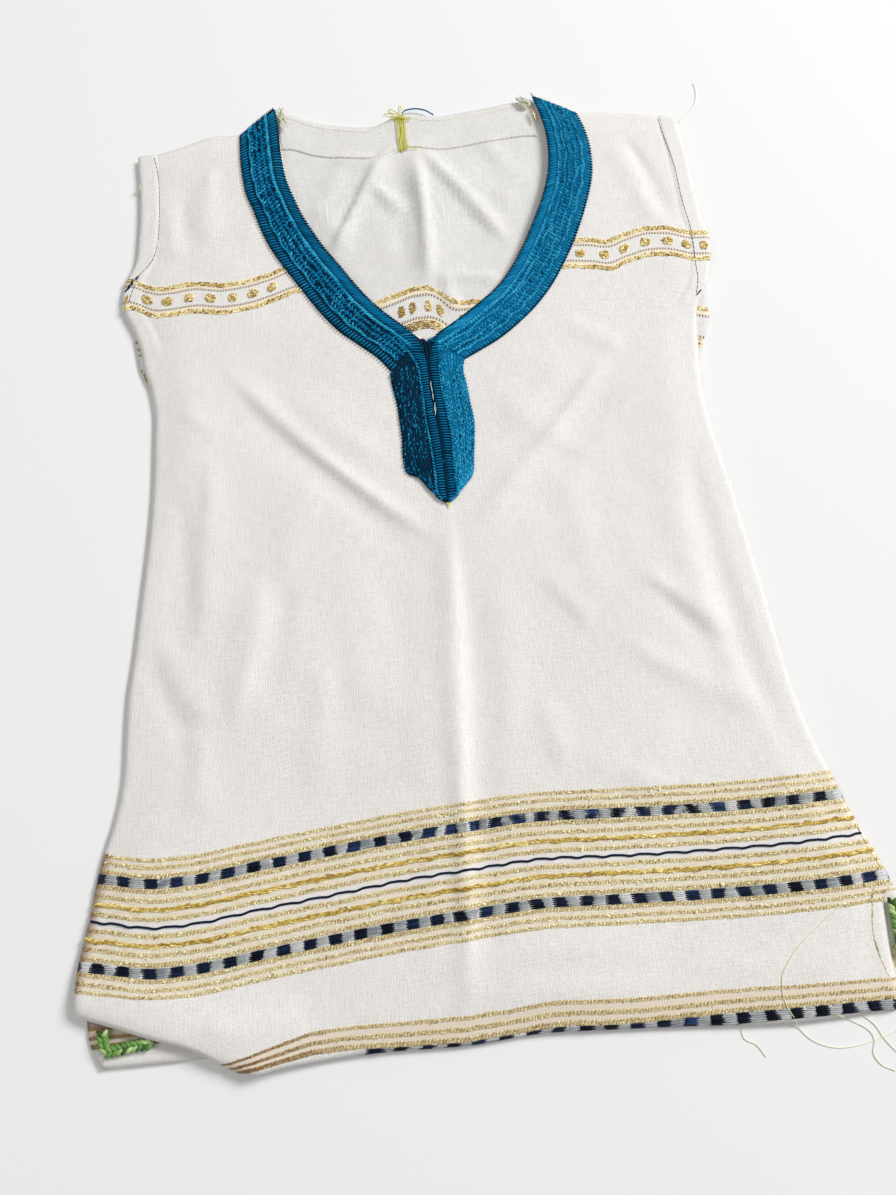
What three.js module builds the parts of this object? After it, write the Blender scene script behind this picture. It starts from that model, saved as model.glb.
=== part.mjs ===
// Jebba, a sleeveless tunic, laid flat on its back panel. Millimetres.
// +X to the wearer's left as it lies face up, +Y to the neck, +Z up off the surface.
import * as THREE from 'three';

// layers
const backWall = 1.3;
const frontWall = 1.2;
const layerGap = 0.3;
const embroideryHeight = 1.2;
const braidHeight = 1.5;
const facingHeight = 1;
const cordRadius = 1.4;

// lie of the front over the back
const puff = 1.5;
const sideSeamReach = 20;
const shoulderSeamReach = 12;
const hemReach = 9;
const hemLift = 0.5;
const neckLift = 0.7;
const foldLift = 0.8;
const foldThickness = 1.9;
const foldReach = 14;

// grid levels, counted up the garment
const hemLevel = -216;
const backHemLevel = -211;
const tipLevel = 18;
const notchLevels = [66, 72, 77, 83, 88, 94];
const topLevel = 206;
const stepsHemToTip = 19;
const stepsTipToNotch = 5;
const stepsNotchToTop = 12;
const bodyColumns = 12;
const bandColumns = 3;
const stepsBack = 20;
const backSideColumns = 6;
const facingColumns = 8;
const facingRows = 2;
const facingWidth = 20;

// how far rows bend to meet the shoulder, the hem and the point of the placket
const shoulderBendReach = 76;
const hemBendReach = 76;
const tipDrop = 15;
const tipHalfWidth = 16;
const tipReachBelow = 58;
const tipReachAbove = 42;

const braidWidth = 4.5;
const tipHalfGap = 0.25;

// side edges of the front
const frontSides = [
  { y: -196, left: -160.8, right: 153.3 },
  { y: -186, left: -161.2, right: 154.2 },
  { y: -178, left: -160.7, right: 155.4 },
  { y: -173, left: -160, right: 158.8 },
  { y: -166, left: -158.6, right: 157.2 },
  { y: -156, left: -156.1, right: 153.2 },
  { y: -144, left: -153.7, right: 148.8 },
  { y: -132, left: -150.5, right: 145.2 },
  { y: -119, left: -146.2, right: 141.3 },
  { y: -106, left: -143.4, right: 138 },
  { y: -88, left: -142.2, right: 135 },
  { y: -72, left: -141.2, right: 133.6 },
  { y: -52, left: -138.2, right: 131.6 },
  { y: -30, left: -135.4, right: 129.2 },
  { y: -8, left: -132.5, right: 127.1 },
  { y: 16, left: -130, right: 123.9 },
  { y: 44, left: -128.8, right: 121.2 },
  { y: 58, left: -128.5, right: 121.8 },
  { y: 70, left: -130.2, right: 123.4 },
  { y: 82, left: -133.2, right: 124.6 },
  { y: 92, left: -134.7, right: 127.2 },
  { y: 101, left: -137.4, right: 132.8 },
  { y: 110, left: -141.4, right: 135.5 },
  { y: 118, left: -142.9, right: 137.4 },
  { y: 128, left: -140.8, right: 137.8 },
  { y: 137, left: -136.6, right: 136.2 },
  { y: 150, left: -134.9, right: 135.7 },
  { y: 170, left: -133.9, right: 135.1 },
  { y: 196, left: -134.8, right: 133.4 },
];

// side edges of the back: they show at the underarms and below the side slits
const backSides = [
  { y: -211, left: -151, right: 161.4 },
  { y: -204, left: -155.2, right: 162.4 },
  { y: -192, left: -157.4, right: 162.6 },
  { y: -178, left: -159.2, right: 161.2 },
  { y: -166, left: -157.8, right: 157 },
  { y: -150, left: -154, right: 150.4 },
  { y: -119, left: -145.4, right: 140.5 },
  { y: -88, left: -141.4, right: 134.2 },
  { y: -52, left: -137.4, right: 130.8 },
  { y: -8, left: -131.7, right: 126.3 },
  { y: 30, left: -128.4, right: 121.6 },
  { y: 56, left: -127.8, right: 121 },
  { y: 70, left: -130.6, right: 125.6 },
  { y: 82, left: -134.9, right: 130.4 },
  { y: 92, left: -136.4, right: 131.6 },
  { y: 106, left: -138.5, right: 133.4 },
  { y: 120, left: -140.4, right: 135.8 },
  { y: 137, left: -135.6, right: 135.2 },
  { y: 165, left: -133, right: 134.2 },
  { y: 196, left: -133.8, right: 132.4 },
];

// outer and inner edges of the embroidery round the neck, the placket and the centre fold
const neckSections = [
  { y: -216, leftOuter: -42, leftInner: -12, rightInner: -12, rightOuter: 20 },
  { y: -100, leftOuter: -32, leftInner: -6, rightInner: -6, rightOuter: 20 },
  { y: 0, leftOuter: -18, leftInner: 0, rightInner: 0, rightOuter: 13 },
  { y: 10, leftOuter: -16.8, leftInner: -0.5, rightInner: 0.5, rightOuter: 12.4 },
  { y: 24, leftOuter: -17.6, leftInner: -0.5, rightInner: 0.5, rightOuter: 13.6 },
  { y: 34, leftOuter: -17.8, leftInner: -0.8, rightInner: 0.2, rightOuter: 15.2 },
  { y: 46, leftOuter: -18, leftInner: -2, rightInner: -1, rightOuter: 15 },
  { y: 58, leftOuter: -19.6, leftInner: -2.6, rightInner: -1.6, rightOuter: 13.8 },
  { y: 67, leftOuter: -20.2, leftInner: -2.9, rightInner: -1.9, rightOuter: 13.4 },
  { y: 72, leftOuter: -22.6, leftInner: -3.1, rightInner: -2.1, rightOuter: 16 },
  { y: 77, leftOuter: -27.2, leftInner: -3.3, rightInner: -2.2, rightOuter: 26.5 },
  { y: 83, leftOuter: -33.9, leftInner: -3.6, rightInner: -2.3, rightOuter: 36 },
  { y: 88, leftOuter: -39.4, leftInner: -9.6, rightInner: 7.2, rightOuter: 42.4 },
  { y: 94, leftOuter: -45, leftInner: -16.6, rightInner: 17.6, rightOuter: 49 },
  { y: 104, leftOuter: -51.9, leftInner: -25.6, rightInner: 31, rightOuter: 57.8 },
  { y: 118, leftOuter: -60.4, leftInner: -36.4, rightInner: 42, rightOuter: 67 },
  { y: 138, leftOuter: -71.8, leftInner: -48, rightInner: 53.4, rightOuter: 77 },
  { y: 158, leftOuter: -78.6, leftInner: -56.9, rightInner: 62.6, rightOuter: 84.4 },
  { y: 180, leftOuter: -83.4, leftInner: -62.6, rightInner: 66.9, rightOuter: 87.2 },
  { y: 200, leftOuter: -84.1, leftInner: -64.4, rightInner: 66, rightOuter: 84.6 },
  { y: 220, leftOuter: -84, leftInner: -66.2, rightInner: 62, rightOuter: 82 },
];

const shoulderLine = [
  { x: -135, y: 196.1 },
  { x: -124, y: 197 },
  { x: -111, y: 200.2 },
  { x: -97, y: 204.6 },
  { x: -84, y: 205 },
  { x: -75.6, y: 212.6 },
  { x: -66.2, y: 220 },
  { x: 63, y: 215.4 },
  { x: 73, y: 210.6 },
  { x: 83.6, y: 202.4 },
  { x: 99, y: 199.2 },
  { x: 111, y: 197.4 },
  { x: 133.6, y: 193.8 },
];

const backTopLine = [
  { x: -134, y: 195.2 },
  { x: -111, y: 199.2 },
  { x: -86, y: 203.6 },
  { x: -70, y: 216.2 },
  { x: -62, y: 217.6 },
  { x: -48, y: 211.6 },
  { x: -34, y: 207.7 },
  { x: -18, y: 206 },
  { x: -4, y: 211 },
  { x: 12, y: 209 },
  { x: 36, y: 211.2 },
  { x: 60, y: 213.4 },
  { x: 70, y: 210.8 },
  { x: 86, y: 201.4 },
  { x: 111, y: 196.6 },
  { x: 133, y: 193 },
];

// lower edge of the front; its left corner is turned under
const hemLine = [
  { x: -161, y: -191.6 },
  { x: -150, y: -195.2 },
  { x: -132, y: -201.8 },
  { x: -116, y: -207.4 },
  { x: -97, y: -217.4 },
  { x: -83, y: -216.8 },
  { x: -46, y: -215.2 },
  { x: -12, y: -215.9 },
  { x: 14, y: -214.4 },
  { x: 42, y: -215.6 },
  { x: 72, y: -217.3 },
  { x: 110, y: -219.8 },
  { x: 156, y: -218.8 },
];
const foldStart = { x: -161, y: -191.6 };
const foldEnd = { x: -97, y: -217.4 };

// creases, each along a bow from a start through a middle to an end
const frontCreases = [
  { x0: -1, y0: -4, x1: -4, y1: -88, x2: -12, y2: -212, rise: 2.4, reach: 10 },
  { x0: -92, y0: 73, x1: -63, y1: 33, x2: -5, y2: -17, rise: 1.7, reach: 9 },
  { x0: 84, y0: 67, x1: 53, y1: 31, x2: 10, y2: -12, rise: 1.7, reach: 9 },
  { x0: 112, y0: 26, x1: 108, y1: -45, x2: 132, y2: -123, rise: -1.3, reach: 9 },
  { x0: 79, y0: -37, x1: 94, y1: -51, x2: 111, y2: -67, rise: 1.1, reach: 8 },
  { x0: 40, y0: -33, x1: 45, y1: -47, x2: 55, y2: -58, rise: 0.8, reach: 8 },
  { x0: -83, y0: -30, x1: -87, y1: -56, x2: -93, y2: -77, rise: 1.1, reach: 9 },
  { x0: -103, y0: 27, x1: -105, y1: -5, x2: -108, y2: -41, rise: 1.1, reach: 9 },
  { x0: -135, y0: -51, x1: -125, y1: -73, x2: -115, y2: -93, rise: -1, reach: 8 },
  { x0: 60, y0: 87, x1: 77, y1: 76, x2: 88, y2: 68, rise: 0.8, reach: 8 },
  { x0: 94, y0: 182, x1: 108, y1: 160, x2: 113, y2: 131, rise: 0.9, reach: 8 },
];
const backCreases = [
  { x0: 7, y0: 178, x1: 6, y1: 150, x2: 0, y2: 120, rise: 1.5, reach: 8 },
  { x0: -19, y0: 168, x1: -30, y1: 148, x2: -38, y2: 136, rise: 1.1, reach: 7 },
  { x0: 12, y0: 172, x1: 24, y1: 148, x2: 38, y2: 124, rise: 1.1, reach: 7 },
];
const creaseFloor = 0.25;

// twisted cords sewn down the inside of the slits, on the back panel
const leftCordPath = [
  { x: -151.4, y: -199.2 },
  { x: -150.6, y: -203.4 },
  { x: -148, y: -206.6 },
  { x: -141, y: -207 },
  { x: -133, y: -206.6 },
];
const rightCordPath = [
  { x: 158.6, y: -179.4 },
  { x: 158.8, y: -186 },
  { x: 158.4, y: -194 },
  { x: 157.6, y: -201 },
];
const cordSteps = 12;
const cordSides = 8;

const jebba = new THREE.Group();
jebba.name = 'jebba';
const clothPaint = { color: 0xe7e3de, roughness: 0.9 };
const tealPaint = { color: 0x10739b, roughness: 0.6 };
const darkTealPaint = { color: 0x0b5f86, roughness: 0.6 };
const greenPaint = { color: 0x6fb04c, roughness: 0.6 };

const mix = (a, b, t) => a + (b - a) * t;
const smooth = (from, to, value) => THREE.MathUtils.smoothstep(value, from, to);

// reads one column of a table at any place, with an eased curve between its rows
function column(rows, key, place) {
  return (at) => {
    if (at <= rows[0][key]) return rows[0][place];
    const last = rows.length - 1;
    if (at >= rows[last][key]) return rows[last][place];
    const i = rows.findIndex((row) => row[key] > at) - 1;
    const width = rows[i + 1][key] - rows[i][key];
    const t = (at - rows[i][key]) / width;
    const slope = (n) => {
      const before = rows[Math.max(0, n - 1)];
      const after = rows[Math.min(last, n + 1)];
      return (after[place] - before[place]) / (after[key] - before[key]);
    };
    const a = rows[i][place];
    const b = rows[i + 1][place];
    const leave = slope(i) * width;
    const arrive = slope(i + 1) * width;
    const curve = a + t * (leave + t * (3 * (b - a) - 2 * leave - arrive + t * (2 * (a - b) + leave + arrive)));
    return THREE.MathUtils.clamp(curve, Math.min(a, b) - 0.4, Math.max(a, b) + 0.4);
  };
}

const frontLeft = column(frontSides, 'y', 'left');
const frontRight = column(frontSides, 'y', 'right');
const backLeft = column(backSides, 'y', 'left');
const backRight = column(backSides, 'y', 'right');
const shoulderY = column(shoulderLine, 'x', 'y');
const backTopY = column(backTopLine, 'x', 'y');
const hemY = column(hemLine, 'x', 'y');
const outerEdge = {
  left: column(neckSections, 'y', 'leftOuter'),
  right: column(neckSections, 'y', 'rightOuter'),
};
const innerEdge = {
  left: column(neckSections, 'y', 'leftInner'),
  right: column(neckSections, 'y', 'rightInner'),
};

// height of the creases at a place: each is a soft ridge that fades at its ends
function creaseHeight(creases, x, y) {
  let height = 0;
  for (const crease of creases) {
    let nearest = Infinity;
    let alongNearest = 0;
    for (let i = 0; i <= 16; i += 1) {
      const t = i / 16;
      const px = mix(mix(crease.x0, crease.x1, t), mix(crease.x1, crease.x2, t), t);
      const py = mix(mix(crease.y0, crease.y1, t), mix(crease.y1, crease.y2, t), t);
      const away = Math.hypot(x - px, y - py);
      if (away < nearest) {
        nearest = away;
        alongNearest = t;
      }
    }
    const ends = smooth(0, 0.15, alongNearest) * smooth(0, 0.15, 1 - alongNearest);
    height += crease.rise * Math.exp(-((nearest / crease.reach) ** 2)) * mix(0.35, 1, ends);
  }
  return height;
}

function foldShare(x, y) {
  const alongX = foldEnd.x - foldStart.x;
  const alongY = foldEnd.y - foldStart.y;
  const reach = ((x - foldStart.x) * alongX + (y - foldStart.y) * alongY) / (alongX ** 2 + alongY ** 2);
  const t = THREE.MathUtils.clamp(reach, 0, 1);
  const away = Math.hypot(x - foldStart.x - t * alongX, y - foldStart.y - t * alongY);
  return Math.exp(-((away / foldReach) ** 2));
}

const backRelief = (x, y) => Math.max(0, creaseHeight(backCreases, x, y) - creaseFloor);

function backPoint(x, y) {
  const relief = backRelief(x, y);
  return { x, y, under: relief, top: relief + backWall };
}

function frontPoint(x, y) {
  const side = Math.min(x - frontLeft(y), frontRight(y) - x);
  const seams = smooth(0, sideSeamReach, side) * smooth(0, shoulderSeamReach, shoulderY(x) - y);
  const hem = smooth(0, hemReach, y - hemY(x));
  const inside = smooth(0, 30, Math.max(outerEdge.left(y) - x, x - outerEdge.right(y)));
  const full = Math.max(0.4, mix(neckLift, puff, y > 0 ? inside : 1) + creaseHeight(frontCreases, x, y));
  const folded = foldShare(x, y);
  const lift = seams * mix(hemLift, full, hem) + folded * foldLift * smooth(0, 6, side + 4);
  const under = backWall + backRelief(x, y) + layerGap + lift;
  return { x, y, under, top: under + frontWall + folded * foldThickness };
}

// a closed solid from four-cornered cells whose points each have an under and a top height
function sheetSolid(name, cells, paint) {
  const order = new Map();
  for (const point of cells.flat()) {
    if (!order.has(point)) order.set(point, order.size);
  }
  const count = order.size;
  const positions = new Float32Array(count * 6);
  for (const [point, i] of order) {
    positions.set([point.x, point.y, point.top], i * 3);
    positions.set([point.x, point.y, point.under], (count + i) * 3);
  }
  const faces = [];
  const edges = new Map();
  for (const cell of cells) {
    const [a, b, c, d] = cell.map((point) => order.get(point));
    faces.push(a, b, c, a, c, d);
    faces.push(count + a, count + c, count + b, count + a, count + d, count + c);
    for (const [from, to] of [[a, b], [b, c], [c, d], [d, a]]) edges.set(`${from} ${to}`, [from, to]);
  }
  for (const [from, to] of edges.values()) {
    if (!edges.has(`${to} ${from}`)) {
      faces.push(to, from, count + from, to, count + from, count + to);
    }
  }
  const geometry = new THREE.BufferGeometry();
  geometry.setAttribute('position', new THREE.BufferAttribute(positions, 3));
  geometry.setIndex(faces);
  geometry.computeVertexNormals();
  const mesh = new THREE.Mesh(geometry, new THREE.MeshStandardMaterial(paint));
  mesh.name = name;
  jebba.add(mesh);
}

// cells between neighbouring rows, over a span of rows and columns
function cellsOf(rows, rowFrom, rowTo, columnFrom, columnTo) {
  const cells = [];
  for (let r = rowFrom; r < rowTo; r += 1) {
    for (let c = columnFrom; c < columnTo; c += 1) {
      cells.push([rows[r][c], rows[r][c + 1], rows[r + 1][c + 1], rows[r + 1][c]]);
    }
  }
  return cells;
}

// a panel's points copied and moved out off its top face
function liftedRows(rows, height) {
  return rows.map((row) => row.map((point) => {
    const under = point.top + layerGap;
    return { x: point.x, y: point.y, under, top: under + height };
  }));
}

const levels = [];
for (let i = 0; i < stepsHemToTip; i += 1) levels.push(mix(hemLevel, tipLevel, i / stepsHemToTip));
const tipRow = levels.length;
for (let i = 0; i < stepsTipToNotch; i += 1) levels.push(mix(tipLevel, notchLevels[0], i / stepsTipToNotch));
const plackTopRow = levels.length + 1;
const notchRow = levels.length + 3;
levels.push(...notchLevels);
const lastNotch = notchLevels[notchLevels.length - 1];
for (let i = 1; i <= stepsNotchToTop; i += 1) levels.push(mix(lastNotch, topLevel, i / stepsNotchToTop));
const topRow = levels.length - 1;

function frontRowY(x, level) {
  const shoulder = (shoulderY(x) - topLevel) * smooth(topLevel - shoulderBendReach, topLevel, level);
  const hem = (hemY(x) - hemLevel) * smooth(-hemLevel - hemBendReach, -hemLevel, -level);
  const below = smooth(tipLevel - tipReachBelow, tipLevel, level);
  const above = smooth(-tipLevel - tipReachAbove, -tipLevel, -level);
  const drop = tipDrop * Math.max(0, 1 - Math.abs(x) / tipHalfWidth);
  return level + shoulder + hem - drop * Math.min(below, above);
}

// where a row meets an edge, found by settling to and fro between the two
function meet(rowY, edge) {
  let x = edge(0);
  for (let i = 0; i < 40; i += 1) x = mix(x, edge(rowY(x)), 0.5);
  return x;
}

function halfRow(level, side) {
  const rowY = (x) => frontRowY(x, level);
  const start = meet(rowY, side === 'left' ? frontLeft : frontRight);
  const outer = meet(rowY, outerEdge[side]);
  const inner = meet(rowY, innerEdge[side]);
  const turn = side === 'left' ? -1 : 1;
  const braid = inner + turn * braidWidth;
  const xs = [];
  for (let i = 0; i < bodyColumns; i += 1) xs.push(mix(start, outer, i / bodyColumns));
  for (let i = 0; i <= bandColumns; i += 1) xs.push(mix(outer, braid, i / bandColumns));
  xs.push(inner);
  return xs.map((x) => frontPoint(x, rowY(x)));
}

const leftRows = levels.map((level) => halfRow(level, 'left'));
const rightRows = levels.map((level) => halfRow(level, 'right').reverse());
const outerColumn = bodyColumns;
const braidColumn = bodyColumns + bandColumns;
const innerColumn = braidColumn + 1;
for (let r = 0; r <= tipRow; r += 1) rightRows[r][0] = leftRows[r][innerColumn];

sheetSolid('front', [
  ...cellsOf(leftRows, 0, topRow, 0, innerColumn),
  ...cellsOf(rightRows, 0, topRow, 0, innerColumn),
], clothPaint);

// embroidery and braids, on the front's own points
function embroider(side, rows, columnAt, turn) {
  const lifted = liftedRows(rows, embroideryHeight);
  const span = (rowFrom, rowTo, from, to) => cellsOf(
    lifted, rowFrom, rowTo, Math.min(columnAt(from), columnAt(to)), Math.max(columnAt(from), columnAt(to)),
  );
  sheetSolid(`neck_embroidery_${side}`, [
    ...span(plackTopRow, notchRow, outerColumn, braidColumn),
    ...span(notchRow, topRow, outerColumn, innerColumn),
  ], tealPaint);

  const placket = liftedRows(rows.slice(tipRow, plackTopRow + 1), embroideryHeight);
  for (const point of placket[placket.length - 1]) point.y -= layerGap;
  sheetSolid(`placket_embroidery_${side}`, cellsOf(
    placket, 0, placket.length - 1,
    Math.min(columnAt(outerColumn), columnAt(braidColumn)),
    Math.max(columnAt(outerColumn), columnAt(braidColumn)),
  ), darkTealPaint);

  const braid = liftedRows(rows.slice(tipRow, notchRow + 1), braidHeight);
  for (const row of braid) row[columnAt(braidColumn)].x -= turn * layerGap;
  for (const point of braid[braid.length - 1]) point.y -= layerGap;
  braid[0][columnAt(innerColumn)].x += turn * tipHalfGap;
  sheetSolid(`slit_braid_${side}`, cellsOf(
    braid, 0, braid.length - 1,
    Math.min(columnAt(braidColumn), columnAt(innerColumn)),
    Math.max(columnAt(braidColumn), columnAt(innerColumn)),
  ), darkTealPaint);
}
embroider('left', leftRows, (c) => c, -1);
embroider('right', rightRows, (c) => innerColumn - c, 1);

// back panel, with the facing on its neck edge
function backRowY(x, level) {
  return level + (backTopY(x) - topLevel) * smooth(topLevel - shoulderBendReach, topLevel, level);
}
const facingLeft = -63;
const facingRight = 61;
const backLevels = [];
for (let i = 0; i < stepsBack; i += 1) backLevels.push(mix(backHemLevel, topLevel - facingWidth, i / stepsBack));
for (let i = 0; i <= facingRows; i += 1) backLevels.push(topLevel - facingWidth * (1 - i / facingRows));
const backTopRow = backLevels.length - 1;
const backRows = backLevels.map((level) => {
  const rowY = (x) => backRowY(x, level);
  const start = meet(rowY, backLeft);
  const end = meet(rowY, backRight);
  const xs = [];
  for (let i = 0; i < backSideColumns; i += 1) xs.push(mix(start, facingLeft, i / backSideColumns));
  for (let i = 0; i < facingColumns; i += 1) xs.push(mix(facingLeft, facingRight, i / facingColumns));
  for (let i = 0; i <= backSideColumns; i += 1) xs.push(mix(facingRight, end, i / backSideColumns));
  return xs.map((x) => backPoint(x, rowY(x)));
});
sheetSolid('back', cellsOf(backRows, 0, backTopRow, 0, 2 * backSideColumns + facingColumns), clothPaint);
sheetSolid('back_neck_facing', cellsOf(
  liftedRows(backRows, facingHeight), backTopRow - facingRows, backTopRow,
  backSideColumns, backSideColumns + facingColumns,
), clothPaint);

// a cord laid on the back panel
function cordSolid(name, path) {
  const height = backWall + layerGap + cordRadius;
  const curve = new THREE.CatmullRomCurve3(path.map(({ x, y }) => new THREE.Vector3(x, y, height)));
  const geometry = new THREE.BufferGeometry();
  const positions = [];
  const faces = [];
  for (let i = 0; i <= cordSteps; i += 1) {
    const centre = curve.getPointAt(i / cordSteps);
    const along = curve.getTangentAt(i / cordSteps);
    for (let k = 0; k < cordSides; k += 1) {
      const turn = (2 * Math.PI * (k + 0.5)) / cordSides;
      const across = cordRadius * Math.cos(turn);
      positions.push(centre.x - along.y * across, centre.y + along.x * across, height + cordRadius * Math.sin(turn));
    }
  }
  const endCap = cordSteps * cordSides;
  for (let i = 0; i < cordSteps; i += 1) {
    for (let k = 0; k < cordSides; k += 1) {
      const a = i * cordSides + k;
      const b = i * cordSides + ((k + 1) % cordSides);
      faces.push(a, b, a + cordSides, b, b + cordSides, a + cordSides);
    }
  }
  for (let k = 1; k < cordSides - 1; k += 1) {
    faces.push(0, k + 1, k);
    faces.push(endCap, endCap + k, endCap + k + 1);
  }
  geometry.setAttribute('position', new THREE.BufferAttribute(new Float32Array(positions), 3));
  geometry.setIndex(faces);
  geometry.computeVertexNormals();
  const mesh = new THREE.Mesh(geometry, new THREE.MeshStandardMaterial(greenPaint));
  mesh.name = name;
  jebba.add(mesh);
}
cordSolid('slit_cord_left', leftCordPath);
cordSolid('slit_cord_right', rightCordPath);

export default jebba;
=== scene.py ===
import math

import bmesh
import bpy
import numpy as np
from mathutils import Matrix, Vector


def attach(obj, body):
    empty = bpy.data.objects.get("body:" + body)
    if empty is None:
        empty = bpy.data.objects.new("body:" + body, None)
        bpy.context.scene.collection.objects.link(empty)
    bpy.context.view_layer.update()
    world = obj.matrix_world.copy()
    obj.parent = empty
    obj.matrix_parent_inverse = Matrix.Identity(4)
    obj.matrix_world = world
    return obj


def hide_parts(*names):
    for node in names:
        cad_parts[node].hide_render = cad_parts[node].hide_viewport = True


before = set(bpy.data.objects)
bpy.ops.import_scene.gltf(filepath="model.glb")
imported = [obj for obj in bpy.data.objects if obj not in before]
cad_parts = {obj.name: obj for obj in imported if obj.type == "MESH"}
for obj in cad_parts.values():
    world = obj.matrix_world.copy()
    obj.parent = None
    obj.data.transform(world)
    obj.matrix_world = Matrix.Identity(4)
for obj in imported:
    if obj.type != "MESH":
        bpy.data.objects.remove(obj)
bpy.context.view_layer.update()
mm = 0.001
chance = np.random.default_rng(11)

# camera
camera = {"place": (-13.6, -139.6, 373.4), "lookAt": (-4, -40, 0), "right": (0.9954, -0.0958, 0),
          "lens": 27.02, "sensor": 36, "clip": 0.01}


def addObject(name, data):
    obj = bpy.data.objects.new(name, data)
    bpy.context.scene.collection.objects.link(obj)
    return obj


def addCamera(c):
    data = bpy.data.cameras.new("camera")
    data.lens, data.sensor_width, data.clip_start = c["lens"], c["sensor"], c["clip"]
    place = Vector(c["place"]) * mm
    back = (place - Vector(c["lookAt"]) * mm).normalized()
    right = Vector(c["right"]).normalized()
    turn = Matrix((right, back.cross(right), back)).transposed().to_4x4()
    obj = addObject("camera", data)
    obj.matrix_world = Matrix.Translation(place) @ turn
    bpy.context.scene.camera = obj


addCamera(camera)
print("camera set")


# reading tables of sizes, all in millimetres
overshoot = 0.4  # how far a curve may swing past its points


def curveOf(rows, key, value):
    xs = np.array([r[key] for r in rows], float)
    ys = np.array([r[value] for r in rows], float)
    slope = np.gradient(ys, xs)

    def read(at):
        at = np.clip(np.asarray(at, float), xs[0], xs[-1])
        i = np.clip(np.searchsorted(xs, at, side="right") - 1, 0, len(xs) - 2)
        w = xs[i + 1] - xs[i]
        t = (at - xs[i]) / w
        a, b = ys[i], ys[i + 1]
        curve = (2 * t**3 - 3 * t**2 + 1) * a + (t**3 - 2 * t**2 + t) * w * slope[i]
        curve = curve + (3 * t**2 - 2 * t**3) * b + (t**3 - t**2) * w * slope[i + 1]
        return np.clip(curve, np.minimum(a, b) - overshoot, np.maximum(a, b) + overshoot)

    return read


def table(names, text):
    names = names.split()
    return [dict(zip(names, map(float, row.split()))) for row in text.strip().splitlines()]


def smooth(low, high, value):
    t = np.clip((np.asarray(value, float) - low) / (high - low), 0, 1)
    return t * t * (3 - 2 * t)


def mix(a, b, t):
    return a + (b - a) * t


# outlines
frontSides = table("y left right", """
    -196 -160.8 153.3
    -186 -161.2 154.2
    -178 -160.7 155.4
    -173 -160.0 158.8
    -166 -158.6 157.2
    -156 -156.1 153.2
    -144 -153.7 148.8
    -132 -150.5 145.2
    -119 -146.2 141.3
    -106 -143.4 138.0
    -88  -142.2 135.0
    -72  -141.2 133.6
    -52  -138.2 131.6
    -30  -135.4 129.2
    -8   -132.5 127.1
    16   -130.0 123.9
    44   -128.8 121.2
    58   -128.5 121.8
    70   -130.2 123.4
    82   -133.2 124.6
    92   -134.7 127.2
    101  -137.4 132.8
    110  -141.4 135.5
    118  -142.9 137.4
    128  -140.8 137.8
    137  -136.6 136.2
    150  -134.9 135.7
    170  -133.9 135.1
    196  -134.8 133.4""")
backSides = table("y left right", """
    -211 -151.0 161.4
    -204 -155.2 162.4
    -192 -157.4 162.6
    -178 -159.2 161.2
    -166 -157.8 157.0
    -150 -154.0 150.4
    -119 -145.4 140.5
    -88  -141.4 134.2
    -52  -137.4 130.8
    -8   -131.7 126.3
    30   -128.4 121.6
    56   -127.8 121.0
    70   -130.6 125.6
    82   -134.9 130.4
    92   -136.4 131.6
    106  -138.5 133.4
    120  -140.4 135.8
    137  -135.6 135.2
    165  -133.0 134.2
    196  -133.8 132.4""")
neckEdges = table("y leftOuter leftInner rightInner rightOuter", """
    -216 -42.0 -12.0 -12.0 20.0
    -100 -32.0 -6.0 -6.0 20.0
    0    -18.0 0.0 0.0 13.0
    10   -16.8 -0.4 0.4 12.4
    24   -17.6 -0.4 0.4 13.6
    34   -17.8 -0.7 0.1 15.2
    46   -18.0 -1.9 -1.1 15.0
    58   -19.6 -2.5 -1.7 13.8
    67   -20.2 -2.8 -2.0 13.4
    72   -22.6 -3.0 -2.2 16.0
    77   -27.2 -3.2 -2.3 26.5
    83   -33.9 -3.6 -2.4 36.0
    88   -39.4 -9.6 7.2 42.4
    94   -45.0 -16.6 17.6 49.0
    104  -51.9 -25.6 31.0 57.8
    118  -60.4 -36.4 42.0 67.0
    138  -71.8 -48.0 53.4 77.0
    158  -78.6 -56.9 62.6 84.4
    180  -83.4 -62.6 66.9 87.2
    200  -84.1 -64.4 66.0 84.6
    220  -84.0 -66.2 62.0 82.0""")
shoulderLine = table("x y", """
    -135  197.6
    -124  198.4
    -111  201.8
    -97   206.2
    -84   206.6
    -75.6 214.2
    -66.2 221.6
    63    217.4
    73    212.4
    83.6  204.6
    99    201.6
    111   199.8
    133.6 196.0""")
backTopLine = table("x y", """
    -134 195.2
    -111 199.2
    -86  203.6
    -70  216.2
    -62  217.6
    -48  211.6
    -34  207.7
    -18  206.0
    -4   211.4
    12   209.0
    36   211.2
    60   213.4
    70   210.8
    86   201.4
    111  196.6
    133  193.0""")
hemLine = table("x y", """
    -161 -191.6
    -150 -195.2
    -132 -201.8
    -116 -207.4
    -97  -217.4
    -83  -216.8
    -46  -215.2
    -12  -215.9
    14   -214.4
    42   -215.6
    72   -217.3
    110  -219.8
    156  -218.8""")
levelSizes = {"hem": -216, "backHem": -211, "tip": 18, "top": 206, "shoulderReach": 76, "hemReach": 76,
              "tipDrop": 15, "tipHalf": 16, "tipBelow": 58, "tipAbove": 42}

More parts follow.
